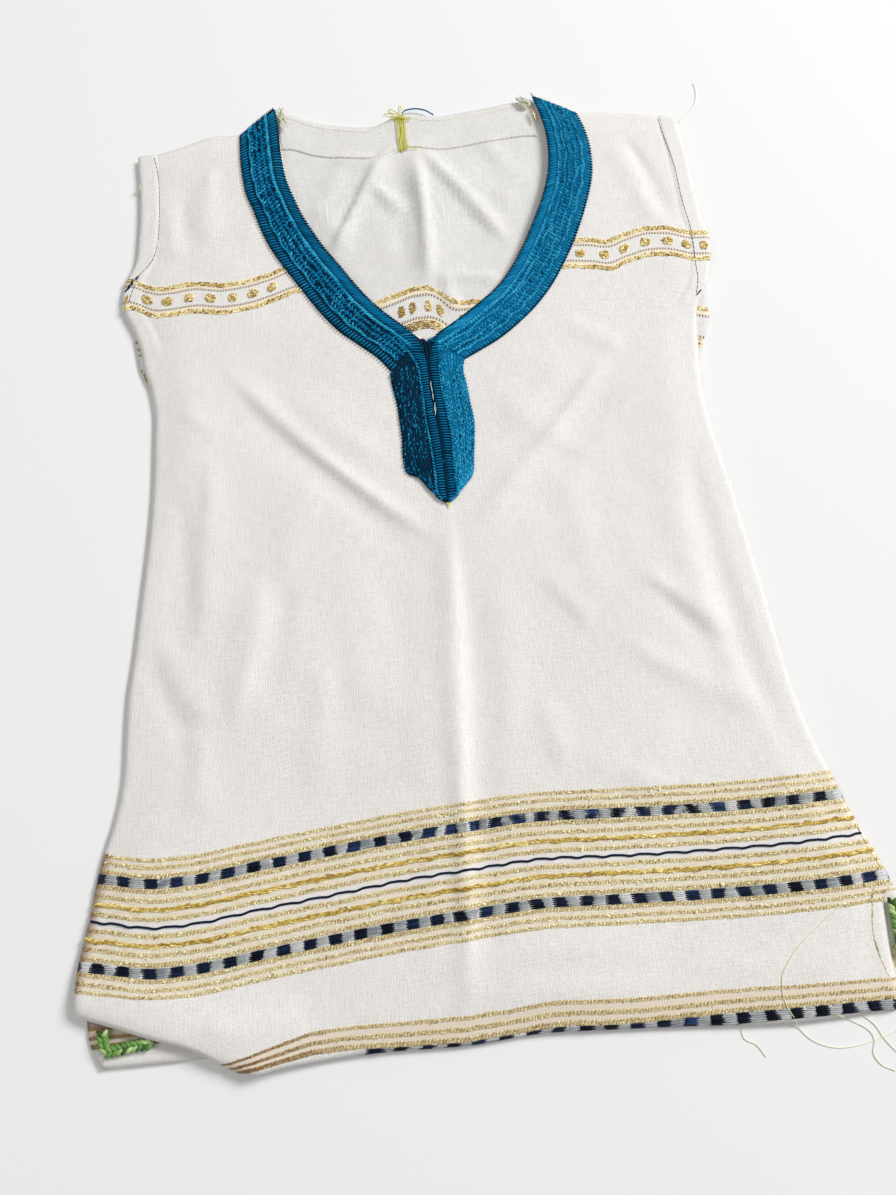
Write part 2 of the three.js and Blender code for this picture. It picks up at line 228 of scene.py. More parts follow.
frontLeft, frontRight = curveOf(frontSides, "y", "left"), curveOf(frontSides, "y", "right")
backLeft, backRight = curveOf(backSides, "y", "left"), curveOf(backSides, "y", "right")
outerEdge = {"left": curveOf(neckEdges, "y", "leftOuter"), "right": curveOf(neckEdges, "y", "rightOuter")}
innerEdge = {"left": curveOf(neckEdges, "y", "leftInner"), "right": curveOf(neckEdges, "y", "rightInner")}
shoulderY, backTopY, hemY = (curveOf(rows, "x", "y") for rows in (shoulderLine, backTopLine, hemLine))


def frontRowY(x, level):
    s = levelSizes
    shoulder = (shoulderY(x) - s["top"]) * smooth(s["top"] - s["shoulderReach"], s["top"], level)
    hem = (hemY(x) - s["hem"]) * smooth(-s["hem"] - s["hemReach"], -s["hem"], -np.asarray(level, float))
    near = np.minimum(smooth(s["tip"] - s["tipBelow"], s["tip"], level),
                      smooth(-s["tip"] - s["tipAbove"], -s["tip"], -np.asarray(level, float)))
    drop = s["tipDrop"] * np.maximum(0, 1 - np.abs(x) / s["tipHalf"])
    return level + shoulder + hem - drop * near


def backRowY(x, level):
    s = levelSizes
    return level + (backTopY(x) - s["top"]) * smooth(s["top"] - s["shoulderReach"], s["top"], level)


def meet(rowY, level, edge):  # where a bent row of the grid reaches an edge
    x = edge(level)
    for _ in range(40):
        x = mix(x, edge(rowY(x, level)), 0.5)
    return x


# creases: bowed lines, rise, half width, lean
frontCreases = table("x0 y0 x1 y1 x2 y2 rise reach lean", """
    -0.5 -2   -3   -92  -12  -214  2.3  4.6 -0.35
    -14  -20  -16  -100 -24  -204  0.8  9   0
    6    -30  4    -110 -2   -206  -0.8 6   0
    -94  76   -63  31   -3   -18   1.7  3.6 0.3
    -88  60   -58  20   -14  -22   -0.8 6.5 0
    -70  64   -48  42   -24  22    0.7  7   0
    84   70   53   33   9    -13   1.7  3.6 -0.3
    84   56   56   21   20   -15   -0.8 6.5 0
    64   70   46   50   26   32    0.6  7   0
    60   88   77   76   89   68    0.7  4.2 0.2
    112  30   106  -45  133  -125  -1.3 6   0
    121  24   116  -45  142  -118  0.8  6   0
    100  22   96   -40  118  -112  0.7  7   0
    78   -36  94   -50  113  -69   1.0  4.6 0.3
    84   -48  98   -62  112  -80   -0.6 5   0
    38   -31  45   -47  57   -59   0.7  5   0.2
    66   -64  92   -88  124  -100  0.8  5.5 0
    30   -86  34   -101 37   -118  0.7  5   0
    -83  -20  -86  -56  -98  -90   1.0  5.4 -0.3
    -72  -24  -76  -54  -84  -82   -0.8 5.5 0
    -103 36   -105 -5   -110 -54   1.0  5.8 0.3
    -116 22   -118 -20  -122 -62   -0.9 6   0
    -136 -50  -125 -73  -114 -96   -0.9 5.4 0
    -128 -44  -116 -68  -106 -88   0.7  5.6 0
    -111 -84  -110 -104 -112 -126  0.8  5.8 0
    -60  -60  -58  -90  -66  -122  0.7  7   0
    -44  -10  -46  -50  -42  -96   0.6  9   0
    18   -30  22   -70  14   -112  0.6  7   0
    52   20   60   -20  56   -60   0.5  9   0
    94   186  108  160  113  130   0.6  6.5 0.2
    104  188  116  160  121  134   -0.9 4   0
    -97  190  -104 165  -100 140   0.8  5.5 0
    -112 186  -114 160  -110 136   -0.4 5   0
    -70  -198 -92  -205 -118 -199  1.0  6.5 0
    -20  -196 10   -199 60   -201  0.5  6   0
    70   -196 100  -200 140  -199  0.4  6   0
    -30  -187 20   -184 70   -187  0.4  6   0
    -118 60   -106 48   -98  44    0.5  5   0.2
    -40  -30  -30  -64  -34  -96   0.5  7   -0.2
    24   60   44   30   70   16    0.5  6   0.2
    -58  20   -70  -2   -74  -30   0.5  7   0
    86   -96  70   -118 62   -134  0.6  6   0.2
    -24  -120 -40  -132 -62  -138  0.5  6   0
    44   -112 62   -124 84   -130  0.5  5   0.2
    -58  176  -76  160  -84  138   0.6  6   0
    -124 170  -116 150  -120 134   0.5  5   0""")
backCreases = table("x0 y0 x1 y1 x2 y2 rise reach lean", """
    1    190  6    150  2    112   3.0  3.0 -0.45
    -8   180  -8   150  -10  124   -1.0 5   0
    -12  192  -30  160  -44  132   2.9  3.0 0.4
    -34  186  -44  168  -50  150   1.0  6   0
    -22  172  -14  162  -6   153   2.0  2.6 0
    4    188  22   164  44   128   2.5  3.4 0.35
    18   180  34   168  50   152   0.8  7   0
    7    116  22   118  38   112   1.2  3.0 0
    9    122  11   110  14   96    1.3  2.6 -0.4
    -50  164  -43  152  -38  138   0.8  4.2 0
    -40  190  -30  183  -14  186   0.9  4   0
    4    206  4    160  -2   112   1.6  17  -0.3
    34   196  44   176  54   160   0.9  6   0.2""")


creaseShape = {"steps": 14, "endReach": 0.25, "endShare": 0.1, "uneven": 0.25, "bulges": 7}


def toSegment(x, y, x0, y0, x1, y1):  # the share along a straight piece, and the way there from its nearest point
    ax, ay = x1 - x0, y1 - y0
    share = np.clip(((x - x0) * ax + (y - y0) * ay) / (ax * ax + ay * ay), 0, 1)
    return share, x - x0 - share * ax, y - y0 - share * ay


def creaseHeight(creases, x, y):
    # a crease is a bowed line; its two flanks may differ (lean), so one side falls away faster
    s = creaseShape
    x, y = np.asarray(x, float), np.asarray(y, float)
    height = np.zeros_like(x)
    t = np.linspace(0, 1, s["steps"] + 1)
    for c in creases:
        nearest = np.full_like(x, np.inf)
        along, flank = np.zeros_like(x), np.zeros_like(x)
        px = mix(mix(c["x0"], c["x1"], t), mix(c["x1"], c["x2"], t), t)
        py = mix(mix(c["y0"], c["y1"], t), mix(c["y1"], c["y2"], t), t)
        for k in range(s["steps"]):
            share, dx, dy = toSegment(x, y, px[k], py[k], px[k + 1], py[k + 1])
            away = np.hypot(dx, dy)
            closer = away < nearest
            turn = np.sign((px[k + 1] - px[k]) * dy - (py[k + 1] - py[k]) * dx)
            along = np.where(closer, (k + share) / s["steps"], along)
            flank = np.where(closer, turn, flank)
            nearest = np.where(closer, away, nearest)
        ends = smooth(0, s["endReach"], along) * smooth(0, s["endReach"], 1 - along)
        wide = c["reach"] * (1 + s["uneven"] * np.sin(s["bulges"] * along + c["x0"])) * (1 + c["lean"] * flank)
        height = height + c["rise"] * np.exp(-((nearest / wide) ** 2)) * mix(s["endShare"], 1, ends)
    return height


swellSizes = {"broad": 0.5, "slanted": 0.34, "steep": 0.26, "fine": 0.13}


def swell(x, y):  # broad, shallow unevenness of cloth that has been folded away, and finer rumpling over it
    s = swellSizes
    broad = s["broad"] * np.sin(x / 23 + 1.3) * np.sin(y / 31 + 0.4) + s["slanted"] * np.sin(x / 13 - y / 37)
    broad = broad + s["steep"] * np.sin(y / 15 + x / 41 + 2)
    fine = np.sin((x + y * 0.5) / 5.2 + 1.6 * np.sin(y / 19)) * np.sin((y - x * 0.4) / 8.4 + 1.3 * np.sin(x / 17))
    return broad + s["fine"] * fine * (0.5 + 0.5 * np.sin(x / 33 + y / 27))


frontLie = {  # how high the cloth stands, and how far in from each edge its shapes reach
    "seam": 1.5, "roll": 1.1, "rollReach": 3.2, "puff": 1.3, "seamReach": 20, "shoulderReach": 12, "swell": 0.8,
    "flattest": 0.05, "hemDrop": 0.9, "hemReach": 7, "hemShare": 0.35, "hemEase": 14, "neckLift": 1.1, "neckReach": 30,
    "turned": 0.35, "turnedWidth": 9.4, "turnedInner": 0.7, "turnedOuter": 0.5, "groove": 0.25, "grooveHalf": 0.8,
    "armholeFrom": (86, 92), "slitTo": (-176, -170), "slitWidth": (5.6, 6.6),
    "fold": 2.6, "foldRoll": 7, "foldReach": 10, "foldWide": 20, "foldRise": 0.4}
backLie = {"top": 1.15, "swell": 0.35, "swellPitch": 1.6, "swellFrom": (60, 90), "topEase": 14,
           "turned": 0.5, "turnedWidth": (4.6, 5.4)}
foldLine = (-161, -191.6, -97, -217.4)


def toFold(x, y):
    _, dx, dy = toSegment(x, y, *foldLine)
    return np.hypot(dx, dy)


def rollUp(distance, reach):
    t = np.clip(distance / reach, 0, 1)
    return np.sqrt(np.clip(1 - (1 - t) ** 2, 0, 1))


def frontTop(x, y):
    s = frontLie
    x, y = np.asarray(x, float), np.asarray(y, float)
    side = np.maximum(0, np.minimum(x - frontLeft(y), frontRight(y) - x))
    seams = smooth(0, s["seamReach"], side) * smooth(0, s["shoulderReach"], shoulderY(x) - y)
    low = y - hemY(x)
    inside = smooth(0, s["neckReach"], np.maximum(outerEdge["left"](y) - x, x - outerEdge["right"](y)))
    puff = np.where(y > 0, mix(s["neckLift"], s["puff"], inside), s["puff"])
    full = puff + creaseHeight(frontCreases, x, y) + swell(x, y) * s["swell"]
    near = toFold(x, y)
    folded = np.exp(-((near / s["foldReach"]) ** 2))
    z = s["seam"] + s["roll"] * rollUp(side, s["rollReach"])
    z = z + seams * np.maximum(s["flattest"], full) * mix(s["hemShare"], 1, smooth(0, s["hemEase"], low))
    z = z + s["fold"] * rollUp(near, s["foldRoll"]) * np.exp(-((near / s["foldWide"]) ** 2)) + s["foldRise"] * folded
    z = z - s["hemDrop"] * (1 - rollUp(low, s["hemReach"])) * (1 - folded)
    # the turned edges of the armholes and of the right slit, and the line sewn along the armholes
    width = s["turnedWidth"]
    high = smooth(*s["armholeFrom"], y)
    armhole = high * (1 - smooth(width - s["turnedInner"], width + s["turnedOuter"], side))
    slit = (1 - smooth(*s["slitTo"], y)) * (1 - smooth(*s["slitWidth"], frontRight(y) - x))
    groove = high * np.exp(-(((side - width) / s["grooveHalf"]) ** 2))
    return z + s["turned"] * (armhole + slit) - s["groove"] * groove


def backTop(x, y):
    s = backLie
    rumple = swell(x * s["swellPitch"], y * s["swellPitch"]) * smooth(*s["swellFrom"], y)
    relief = np.maximum(0, creaseHeight(backCreases, x, y) + s["swell"] * rumple)
    turned = s["turned"] * (1 - smooth(*s["turnedWidth"], y - levelSizes["backHem"]))
    return s["top"] + relief * smooth(0, s["topEase"], backTopY(x) - y) + turned


# how the woven bands run, as bends from level
hemBandBend = curveOf(table("x y", """
    -162 -4.5
    -146 -7.3
    -134 -9.7
    -115 -10
    -92  -7.6
    -62  -4.5
    -31  -1.7
    0    0.1
    17   1.0
    51   -0.3
    86   -1.8
    121  -2.3
    160  -1.2"""), "x", "y")
borderBend = curveOf(table("x y", """
    -162 4
    -130 -4
    -112 -9.6
    -104 -8.6
    -96  -6.8
    -86  -4.2
    -76  -1.9
    -65  -0.6
    -40  -0.6
    -12  -0.9
    5    0.1
    22   1.0
    46   -0.6
    89   -1.3
    122  -2.4
    160  -3.4"""), "x", "y")
chestBend = curveOf(table("x y", """
    -145 2.8
    -139 2.5
    -127 -3.3
    -108 -3
    -95  -5
    -79  -3.1
    -62  2.6
    0    0
    70   4
    79   3.0
    88.6 1.5
    97   4.6
    106  6.8
    116  6.6
    129  3.2
    140  3.0"""), "x", "y")
backChestBend = curveOf(table("x y", """
    -141 -30
    -110 -26
    -36  -22
    -24  -19.4
    -12  -15.4
    -4   -13.6
    3    -14.2
    7    -17.4
    11   -21.8
    16   -22.6
    30   -23
    110  -32
    136  -39"""), "x", "y")
borderPinch = curveOf(table("x share", """
    -162 0.5
    -112 0.5
    -98  0.7
    -84  0.92
    -72  1
    160  1"""), "x", "share")
bandLevels = {"hem": -152.3, "border": -204, "chest": 118}
bendReach = {  # between which heights each bend eases in or out
    "border": (-204, -184), "low": (-110, -30), "chestLow": (80, 100), "chestHigh": (136, 156), "pinchMost": 1.5,
    "backLow": (30, 60), "backHigh": (140, 175), "backHem": (-190, -170), "backHemBend": 8, "pull": 0.265, "pullMost": 24}


def frontBend(x, y):
    r = bendReach
    inBorder = np.minimum(r["pinchMost"], y - borderBend(x) - bandLevels["border"])
    squeezed = borderBend(x) + inBorder * (1 - 1 / borderPinch(x))
    low = mix(squeezed, hemBandBend(x), smooth(*r["border"], y)) * (1 - smooth(*r["low"], y))
    return low + chestBend(x) * smooth(*r["chestLow"], y) * (1 - smooth(*r["chestHigh"], y))


def backBend(x, y):  # the back's chest band is pulled wider below its upper rope
    r = bendReach
    below = bandLevels["chest"] + bandSizes["chestEdge"] + backChestBend(x) - y
    pulled = backChestBend(x) - r["pull"] * np.clip(below, 0, r["pullMost"])
    pulled = pulled * smooth(*r["backLow"], y) * (1 - smooth(*r["backHigh"], y))
    return pulled + r["backHemBend"] * (1 - smooth(*r["backHem"], y))


def settle(x, level, bend):  # the height at which a woven line of this level runs
    y = np.zeros_like(x) + level
    for _ in range(16):
        y = mix(y, level + bend(x, y), 0.4)
    return y


# making meshes
def gridOf(bm, columns, rows, place):
    made = bmesh.ops.create_grid(bm, x_segments=columns, y_segments=rows, size=1)["verts"]
    flat = np.array([v.co for v in made])
    points = place((flat[:, 0] + 1) / 2, (flat[:, 1] + 1) / 2) * mm
    for v, p in zip(made, points):
        v.co = p
    return made


def finishMesh(name, bm, material, wall):
    mesh = bpy.data.meshes.new(name)
    bm.to_mesh(mesh)
    bm.free()
    mesh.polygons.foreach_set("use_smooth", np.ones(len(mesh.polygons), bool))
    mesh.materials.append(material)
    obj = addObject(name, mesh)
    solid = obj.modifiers.new("wall", "SOLIDIFY")
    solid.thickness = wall * mm
    solid.offset = -1
    solid.use_even_offset = False
    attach(obj, "root")
    return obj


def setTone(mesh, tones):
    layer = mesh.attributes.new("tone", "FLOAT", "POINT")
    layer.data.foreach_set("value", np.full(len(mesh.vertices), tones, np.float32))


def mapCloth(obj, bend):
    mesh = obj.data
    co = np.zeros(len(mesh.vertices) * 3)
    mesh.vertices.foreach_get("co", co)
    x, y = co[0::3] / mm, co[1::3] / mm
    uv = np.stack([x, y - bend(x, y)], 1) * mm
    corner = np.zeros(len(mesh.loops), int)
    mesh.loops.foreach_get("vertex_index", corner)
    layer = mesh.uv_layers.new(name="cloth")
    layer.data.foreach_set("uv", uv[corner].astype(np.float32).ravel())


def sceneMesh(name, kind, **how):  # a small bmesh shape used many times over
    bm = bmesh.new()
    getattr(bmesh.ops, "create_" + kind)(bm, **how)
    mesh = bpy.data.meshes.new(name)
    bm.to_mesh(mesh)
    bm.free()
    return mesh


def strew(name, template, parts, material, parent):
    # joins many copies of a template; parts are (places, turns as (length, across, up) axes, full sizes, tones)
    places, turns, sizes, tones = (np.concatenate([np.asarray(p[k], float) for p in parts]) for k in range(4))
    count = len(places)
    v = np.zeros(len(template.vertices) * 3)
    template.vertices.foreach_get("co", v)
    v = v.reshape(-1, 3)
    world = np.einsum("nij,nvi->nvj", turns, v[None] * (sizes[:, None] * 0.5)) + places[:, None]
    faces = [list(p.vertices) for p in template.polygons]
    starts = np.cumsum([0] + [len(f) for f in faces])[:-1]
    flat = np.concatenate([np.array(f) for f in faces])
    each = np.arange(count)[:, None]
    mesh = bpy.data.meshes.new(name)
    mesh.vertices.add(count * len(v))
    mesh.vertices.foreach_set("co", (world * mm).astype(np.float32).ravel())
    mesh.loops.add(count * len(flat))
    mesh.loops.foreach_set("vertex_index", (flat[None] + each * len(v)).ravel())
    mesh.polygons.add(count * len(faces))
    mesh.polygons.foreach_set("loop_start", (starts[None] + each * len(flat)).ravel())
    mesh.polygons.foreach_set("use_smooth", np.ones(count * len(faces), bool))
    mesh.update(calc_edges=True)
    setTone(mesh, np.repeat(tones.astype(np.float32), len(v)))
    mesh.materials.append(material)
    obj = addObject(name, mesh)
    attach(obj, "root")
    obj.parent = parent
    return obj


def axesAlong(dx, dy, slant=0.0, climb=0.0):
    # unit axes for stitches that run along (dx, dy), turned by slant radians in the cloth's plane
    d = np.stack([dx, dy], 1)
    d = d / np.maximum(1e-9, np.hypot(d[:, 0], d[:, 1]))[:, None]
    c, s = np.cos(slant), np.sin(slant)
    a = np.stack([d[:, 0] * c - d[:, 1] * s, d[:, 0] * s + d[:, 1] * c, np.zeros(len(d)) + climb], 1)
    a = a / np.linalg.norm(a, axis=1)[:, None]
    up = np.tile([0.0, 0.0, 1.0], (len(a), 1))
    across = np.cross(up, a)
    across = across / np.linalg.norm(across, axis=1)[:, None]
    return np.stack([a, across, np.cross(a, across)], 1)


def readers(columns):  # a curve through each column of numbers, read by row number
    n = np.arange(len(columns[0]))
    return [curveOf([{"a": i, "b": q} for i, q in zip(n, column)], "a", "b") for column in columns]


def lengthAlong(p):
    return np.concatenate([[0], np.cumsum(np.linalg.norm(np.diff(p, axis=0), axis=1))])


def evenly(points, pitch):
    # resamples a line of (x, y[, z]) points evenly, after rounding its corners; returns places and directions
    p = np.asarray(points, float)
    fine = np.linspace(0, len(p) - 1, max(2, len(p) * 24))
    p = np.stack([read(fine) for read in readers(p.T)], 1)
    length = lengthAlong(p)

    def at(stops):
        return np.stack([np.interp(stops, length, column) for column in p.T], 1)

    stops = np.arange(pitch / 2, length[-1], pitch)
    return at(stops), at(stops + 0.2) - at(stops - 0.2)


# materials
def colour(r, g, b):  # from display values to linear ones
    shares = [c / 255 for c in (r, g, b)]
    return tuple(c / 12.92 if c <= 0.04045 else ((c + 0.055) / 1.055) ** 2.4 for c in shares) + (1,)


class Nodes:
    def __init__(self, name, **sockets):
        self.material = bpy.data.materials.new(name)
        self.material.use_nodes = True
        self.tree = self.material.node_tree
        self.shader = self.tree.nodes["Principled BSDF"]
        for key, value in sockets.items():
            self.shader.inputs[key.replace("_", " ")].default_value = value

    def make(self, kind, **settings):
        node = self.tree.nodes.new("ShaderNode" + kind)
        for key, value in settings.items():
            setattr(node, key, value)
        return node

    def put(self, socket, value):
        if isinstance(value, bpy.types.NodeSocket):
            self.tree.links.new(value, socket)
        elif value is not None:
            socket.default_value = value

    def feed(self, node, *values):
        for socket, value in zip(node.inputs, values):
            self.put(socket, value)
        return node.outputs[0]

    def calc(self, operation, *values, clamp=False):
        return self.feed(self.make("Math", operation=operation, use_clamp=clamp), *values)

    def add(self, a, b):
        return self.calc("ADD", a, b)

    def sub(self, a, b):
        return self.calc("SUBTRACT", a, b)

    def mul(self, a, b):
        return self.calc("MULTIPLY", a, b)

    def mulAdd(self, a, b, c):
        return self.calc("MULTIPLY_ADD", a, b, c)

    def most(self, a, b):
        return self.calc("MAXIMUM", a, b)

    def size(self, a):
        return self.calc("ABSOLUTE", a)

    def wave(self, value, length):
        return self.calc("SINE", self.mul(value, 2 * math.pi / length))

    def offMiddle(self, value, length):  # how far into its repeat a point is, from the middle: 0 to 0.5
        return self.size(self.sub(self.calc("FRACT", self.calc("DIVIDE", value, length)), 0.5))

    def soft(self, value, low, high, toLow=0.0, toHigh=1.0):
        node = self.make("MapRange", interpolation_type="SMOOTHSTEP")
        return self.feed(node, value, low, high, toLow, toHigh)

    def ramp(self, value, low, high, toLow=0.0, toHigh=1.0):  # the same between two places in millimetres
        return self.soft(value, low * mm, high * mm, toLow, toHigh)

    def line(self, value, centre, half, edge):  # 1 inside a stripe, 0 outside, with a soft edge, in millimetres
        return self.ramp(self.size(self.sub(value, centre * mm)), half - edge, half + edge, 1.0, 0.0)

    def blend(self, share, a, b):
        node = self.make("Mix", data_type="RGBA")
        for k, value in ((0, share), (6, a), (7, b)):
            self.put(node.inputs[k], value)
        return node.outputs[2]

    def noise(self, vector, scale, detail=2.0, rough=0.5):
        node = self.make("TexNoise")
        for key, value in (("Vector", vector), ("Scale", scale), ("Detail", detail), ("Roughness", rough)):
            self.put(node.inputs[key], value)
        return node.outputs["Fac"]

    def streaks(self, vector, x, y, detail=2.0, rough=0.7):  # noise drawn out along one way
        node = self.make("Mapping")
        node.inputs["Scale"].default_value = (x, y, 1)
        self.put(node.inputs["Vector"], vector)
        return self.noise(node.outputs[0], 1, detail, rough)

    def place(self, uvName=None):
        if uvName:
            return self.make("UVMap", uv_map=uvName).outputs[0]
        return self.make("TexCoord").outputs["Object"]

    def tone(self):
        return self.make("Attribute", attribute_name="tone").outputs["Fac"]

    def split(self, vector):
        node = self.make("SeparateXYZ")
        self.put(node.inputs[0], vector)
        return node.outputs[0], node.outputs[1]

    def bump(self, height, strength, distance):
        node = self.make("Bump")
        for key, value in (("Strength", strength), ("Distance", distance), ("Height", height)):
            self.put(node.inputs[key], value)
        self.put(self.shader.inputs["Normal"], node.outputs[0])

    def paint(self, base, rough, metal=None):
        for key, value in (("Base Color", base), ("Roughness", rough), ("Metallic", metal)):
            self.put(self.shader.inputs[key], value)
        return self.material


bandSizes = {  # millimetres from the middle of each band: where, half width, how dark its ticks are
    "goldLines": [(3.1, 0.75, 0.75), (10.0, 0.8, 0.8), (13.5, 0.85, 1.15), (19.2, 0.85, 1.1), (22.5, 0.7, 0.75),
                  (25.3, 0.65, 0.6)],
    "borderLines": [(-0.8, 0.6, 0.9), (-4.1, 0.7, 0.9), (-7.1, 0.9, 1.3)],
    "brightLine": (6.7, 0.8), "twill": 1.35, "chestEdge": 7.2, "chestEdgeHalf": 0.7, "chestDots": 4.3,
    "dashRows": [{"at": 16.4, "centre": -60.8, "pitch": 10.02}, {"at": -16.5, "centre": -60.6, "pitch": 10.08}],
    "borderDash": {"at": -9.8, "centre": 61.4, "pitch": 10.05, "from": -54, "ease": 3},
    "dashHalfHeight": 1.8, "dashHalfLength": 2.75,
    "ground": (25.6, 26.6), "whiteLine": (1.3, 2.1), "pinkLine": (-4.2, 3.9, 0.4),
    "chestGround": ((4.4, 5.0), (7.4, 8.2)),
    "corner": (-124, -112), "cornerLine": (6, 10, 1.5), "workedLine": (-4.2, 4.8, 0.4), "worked": (-98, -52),
    # where the band's rolled left edge is inked copper: partly pulled threads, partly painted shade where it turns
    # under
    "rimShadeAndWear": {"x": 151, "y": 132, "lean": 0.22, "reach": 4.5},
}
crepeSizes = {"drift": 1.2, "wander": 1.4, "fuzz": 3.4, "warp": 0.98, "weft": 1.04, "bumpReach": 0.4,
              "front": {"cross": 0.09, "rib": 0.05, "bump": 0.55}, "back": {"cross": 0.05, "rib": 0.02, "bump": 0.36}}
# inner and innerBetween, darker than thread and between, are painted shade on the back's inside
clothInk = {name: colour(*shades) for name, shades in {
    "thread": (248, 245, 241), "between": (211, 208, 203), "inner": (240, 238, 234), "innerBetween": (203, 202, 198),
    "warm": (233, 226, 220), "cream": (217, 202, 166), "streak": (238, 231, 217), "edgeCream": (240, 226, 200),
    "gold": (206, 186, 130), "goldPale": (228, 212, 160), "goldDark": (146, 114, 66), "goldBright": (255, 250, 214),
    "yellow": (220, 190, 98), "yellowDark": (182, 148, 66), "navy": (20, 38, 78), "navyDark": (6, 12, 26),
    "haze": (160, 164, 168), "white": (232, 229, 230), "brown": (136, 108, 82), "copper": (132, 92, 62),
    "pink": (228, 212, 190)}.items()}


def dashLevels():
    b = bandSizes
    rows = [(bandLevels["hem"] + r["at"], r) for r in b["dashRows"]]
    return rows + [(bandLevels["border"] + b["borderDash"]["at"], b["borderDash"])]


def clothMaterial(name, backInside):
    b, c, ink = bandSizes, crepeSizes, clothInk
    own = c["back" if backInside else "front"]
    n = Nodes(name, Sheen_Weight=0.15, Sheen_Roughness=0.5, Specular_IOR_Level=0.2)
    uv = n.place("cloth")
    u, plain = n.split(uv)
    v = n.add(plain, n.mul(n.sub(n.noise(uv, 95), 0.5), c["drift"] * mm))
    # the crepe: fine warp ribs crossed by weft, never quite even
    wander = n.mul(n.noise(uv, 420), c["wander"] * mm)
    warp = n.wave(n.add(u, wander), c["warp"] * mm)
    weft = n.wave(n.add(plain, wander), c["weft"] * mm)
    slubs, picks, grit = n.streaks(uv, 1300, 130, 3), n.streaks(uv, 150, 1400, 3), n.noise(uv, 1150, 2, 0.7)
    weave = n.mulAdd(n.mul(warp, weft), own["cross"], n.mul(warp, own["rib"]))
    weave = n.add(weave, n.mulAdd(n.add(slubs, picks), 0.32, n.mul(grit, 0.36)))
    # painted shade: the back's inside takes darker inks than the front, where it shows in the neck opening and past the
    # front's edges
    pale = (ink["innerBetween"], ink["inner"]) if backInside else (ink["between"], ink["thread"])
    base = n.blend(n.soft(weave, 0.26, 0.72), *pale)
    base = n.blend(n.mul(n.soft(n.noise(uv, 26, 3), 0.4, 0.75), 0.3), base, ink["warm"])

    # the ground of each band
    border = n.sub(v, bandLevels["border"] * mm)
    away, chestAway = (n.size(n.sub(v, bandLevels[k] * mm)) for k in ("hem", "chest"))
    inBand = n.ramp(away, *b["ground"], 1.0, 0.0)
    streak, thin = n.streaks(uv, 90, 2200, 2, 0.6), n.streaks(uv, 260, 2600)
    ground = n.blend(n.soft(thin, 0.42, 0.62), ink["cream"], ink["streak"])
    base = n.blend(n.mul(inBand, n.soft(streak, 0.3, 0.65, 0.5, 0.95)), base, ground)
    base = n.blend(n.ramp(away, *b["whiteLine"], 0.9, 0.0), base, ink["white"])
    if backInside:  # the corner that is turned under shows the coppery wrong side of its border, with painted shade from the front's fold laid in as well
        corner = n.mul(n.ramp(u, *b["corner"], 1.0, 0.0), n.line(border, *b["cornerLine"]))
        base = n.blend(n.mul(corner, n.soft(thin, 0.36, 0.6, 0.35, 0.95)), base, ink["copper"])
    base = n.blend(n.mul(n.line(border, *b["pinkLine"]), n.soft(thin, 0.3, 0.7, 0.6, 0.95)), base, ink["pink"])
    inner, outer = b["chestGround"]
    base = n.blend(n.mul(n.ramp(chestAway, *inner), n.ramp(chestAway, *outer, 0.9, 0.0)), base, ink["edgeCream"])

    # metal thread in slanted floats, with dark ticks between them
    ticks = n.wave(n.sub(n.add(u, wander), n.mul(v, 0.55)), b["twill"] * mm)
    slub, glint, patch = n.streaks(uv, 700, 2400), n.noise(uv, 1500, 1), n.noise(uv, 160)
    rows = [(away, row, 0.35) for row in b["goldLines"]] + [(border, row, 0.3) for row in b["borderLines"]]
    rows.append((chestAway, (b["chestEdge"], b["chestEdgeHalf"], 1.0), 0.3))
    gold = dark = 0.0
    for where, (offset, half, weight), blur in rows:
        row = n.line(where, offset, half, blur)
        gold, dark = n.most(gold, row), n.most(dark, n.mul(row, weight))
    dark = n.calc("MULTIPLY", dark, n.soft(n.mulAdd(ticks, -0.3, n.add(slub, n.mul(patch, 0.5))), 0.62, 0.98), clamp=True)
    goldInk = n.blend(n.soft(patch, 0.35, 0.65), ink["gold"], ink["goldPale"])
    goldInk = n.blend(n.soft(glint, 0.56, 0.68), goldInk, ink["goldBright"])
    base = n.blend(n.mul(gold, 0.85), base, goldInk)
    base = n.blend(n.mul(dark, 0.6), base, ink["goldDark"])
    worked = n.mul(n.line(border, *b["workedLine"]), n.ramp(u, *b["worked"], 0.75, 0.0))
    base = n.blend(n.mul(gold, worked), base, ink["copper"])
    # painted shade: copper-brown along the hem band's rolled left edge, where it turns under, together with its pulled
    # threads
    rimShadeAndWear = b["rimShadeAndWear"]
    rolled = n.sub(n.add(u, rimShadeAndWear["x"] * mm), n.mul(n.add(v, rimShadeAndWear["y"] * mm), rimShadeAndWear["lean"]))
    base = n.blend(n.mul(inBand, n.ramp(rolled, 0.0, rimShadeAndWear["reach"], 0.6, 0.0)), base, ink["copper"])
    base = n.blend(n.mul(inBand, n.soft(glint, 0.62, 0.7, 0.0, 0.5)), base, ink["goldBright"])
    bright = n.line(away, *b["brightLine"], 0.35)
    base = n.blend(n.mul(bright, 0.85), base, n.blend(n.soft(slub, 0.4, 0.62), ink["yellow"], ink["yellowDark"]))
    gold = n.most(gold, bright)
    speck = n.offMiddle(n.sub(u, n.mul(v, 0.5)), b["twill"] * mm)
    dots = n.mul(n.line(chestAway, b["chestDots"], 0.55, 0.25), n.soft(speck, 0.14, 0.34, 1.0, 0.15))
    base = n.blend(dots, base, ink["brown"])

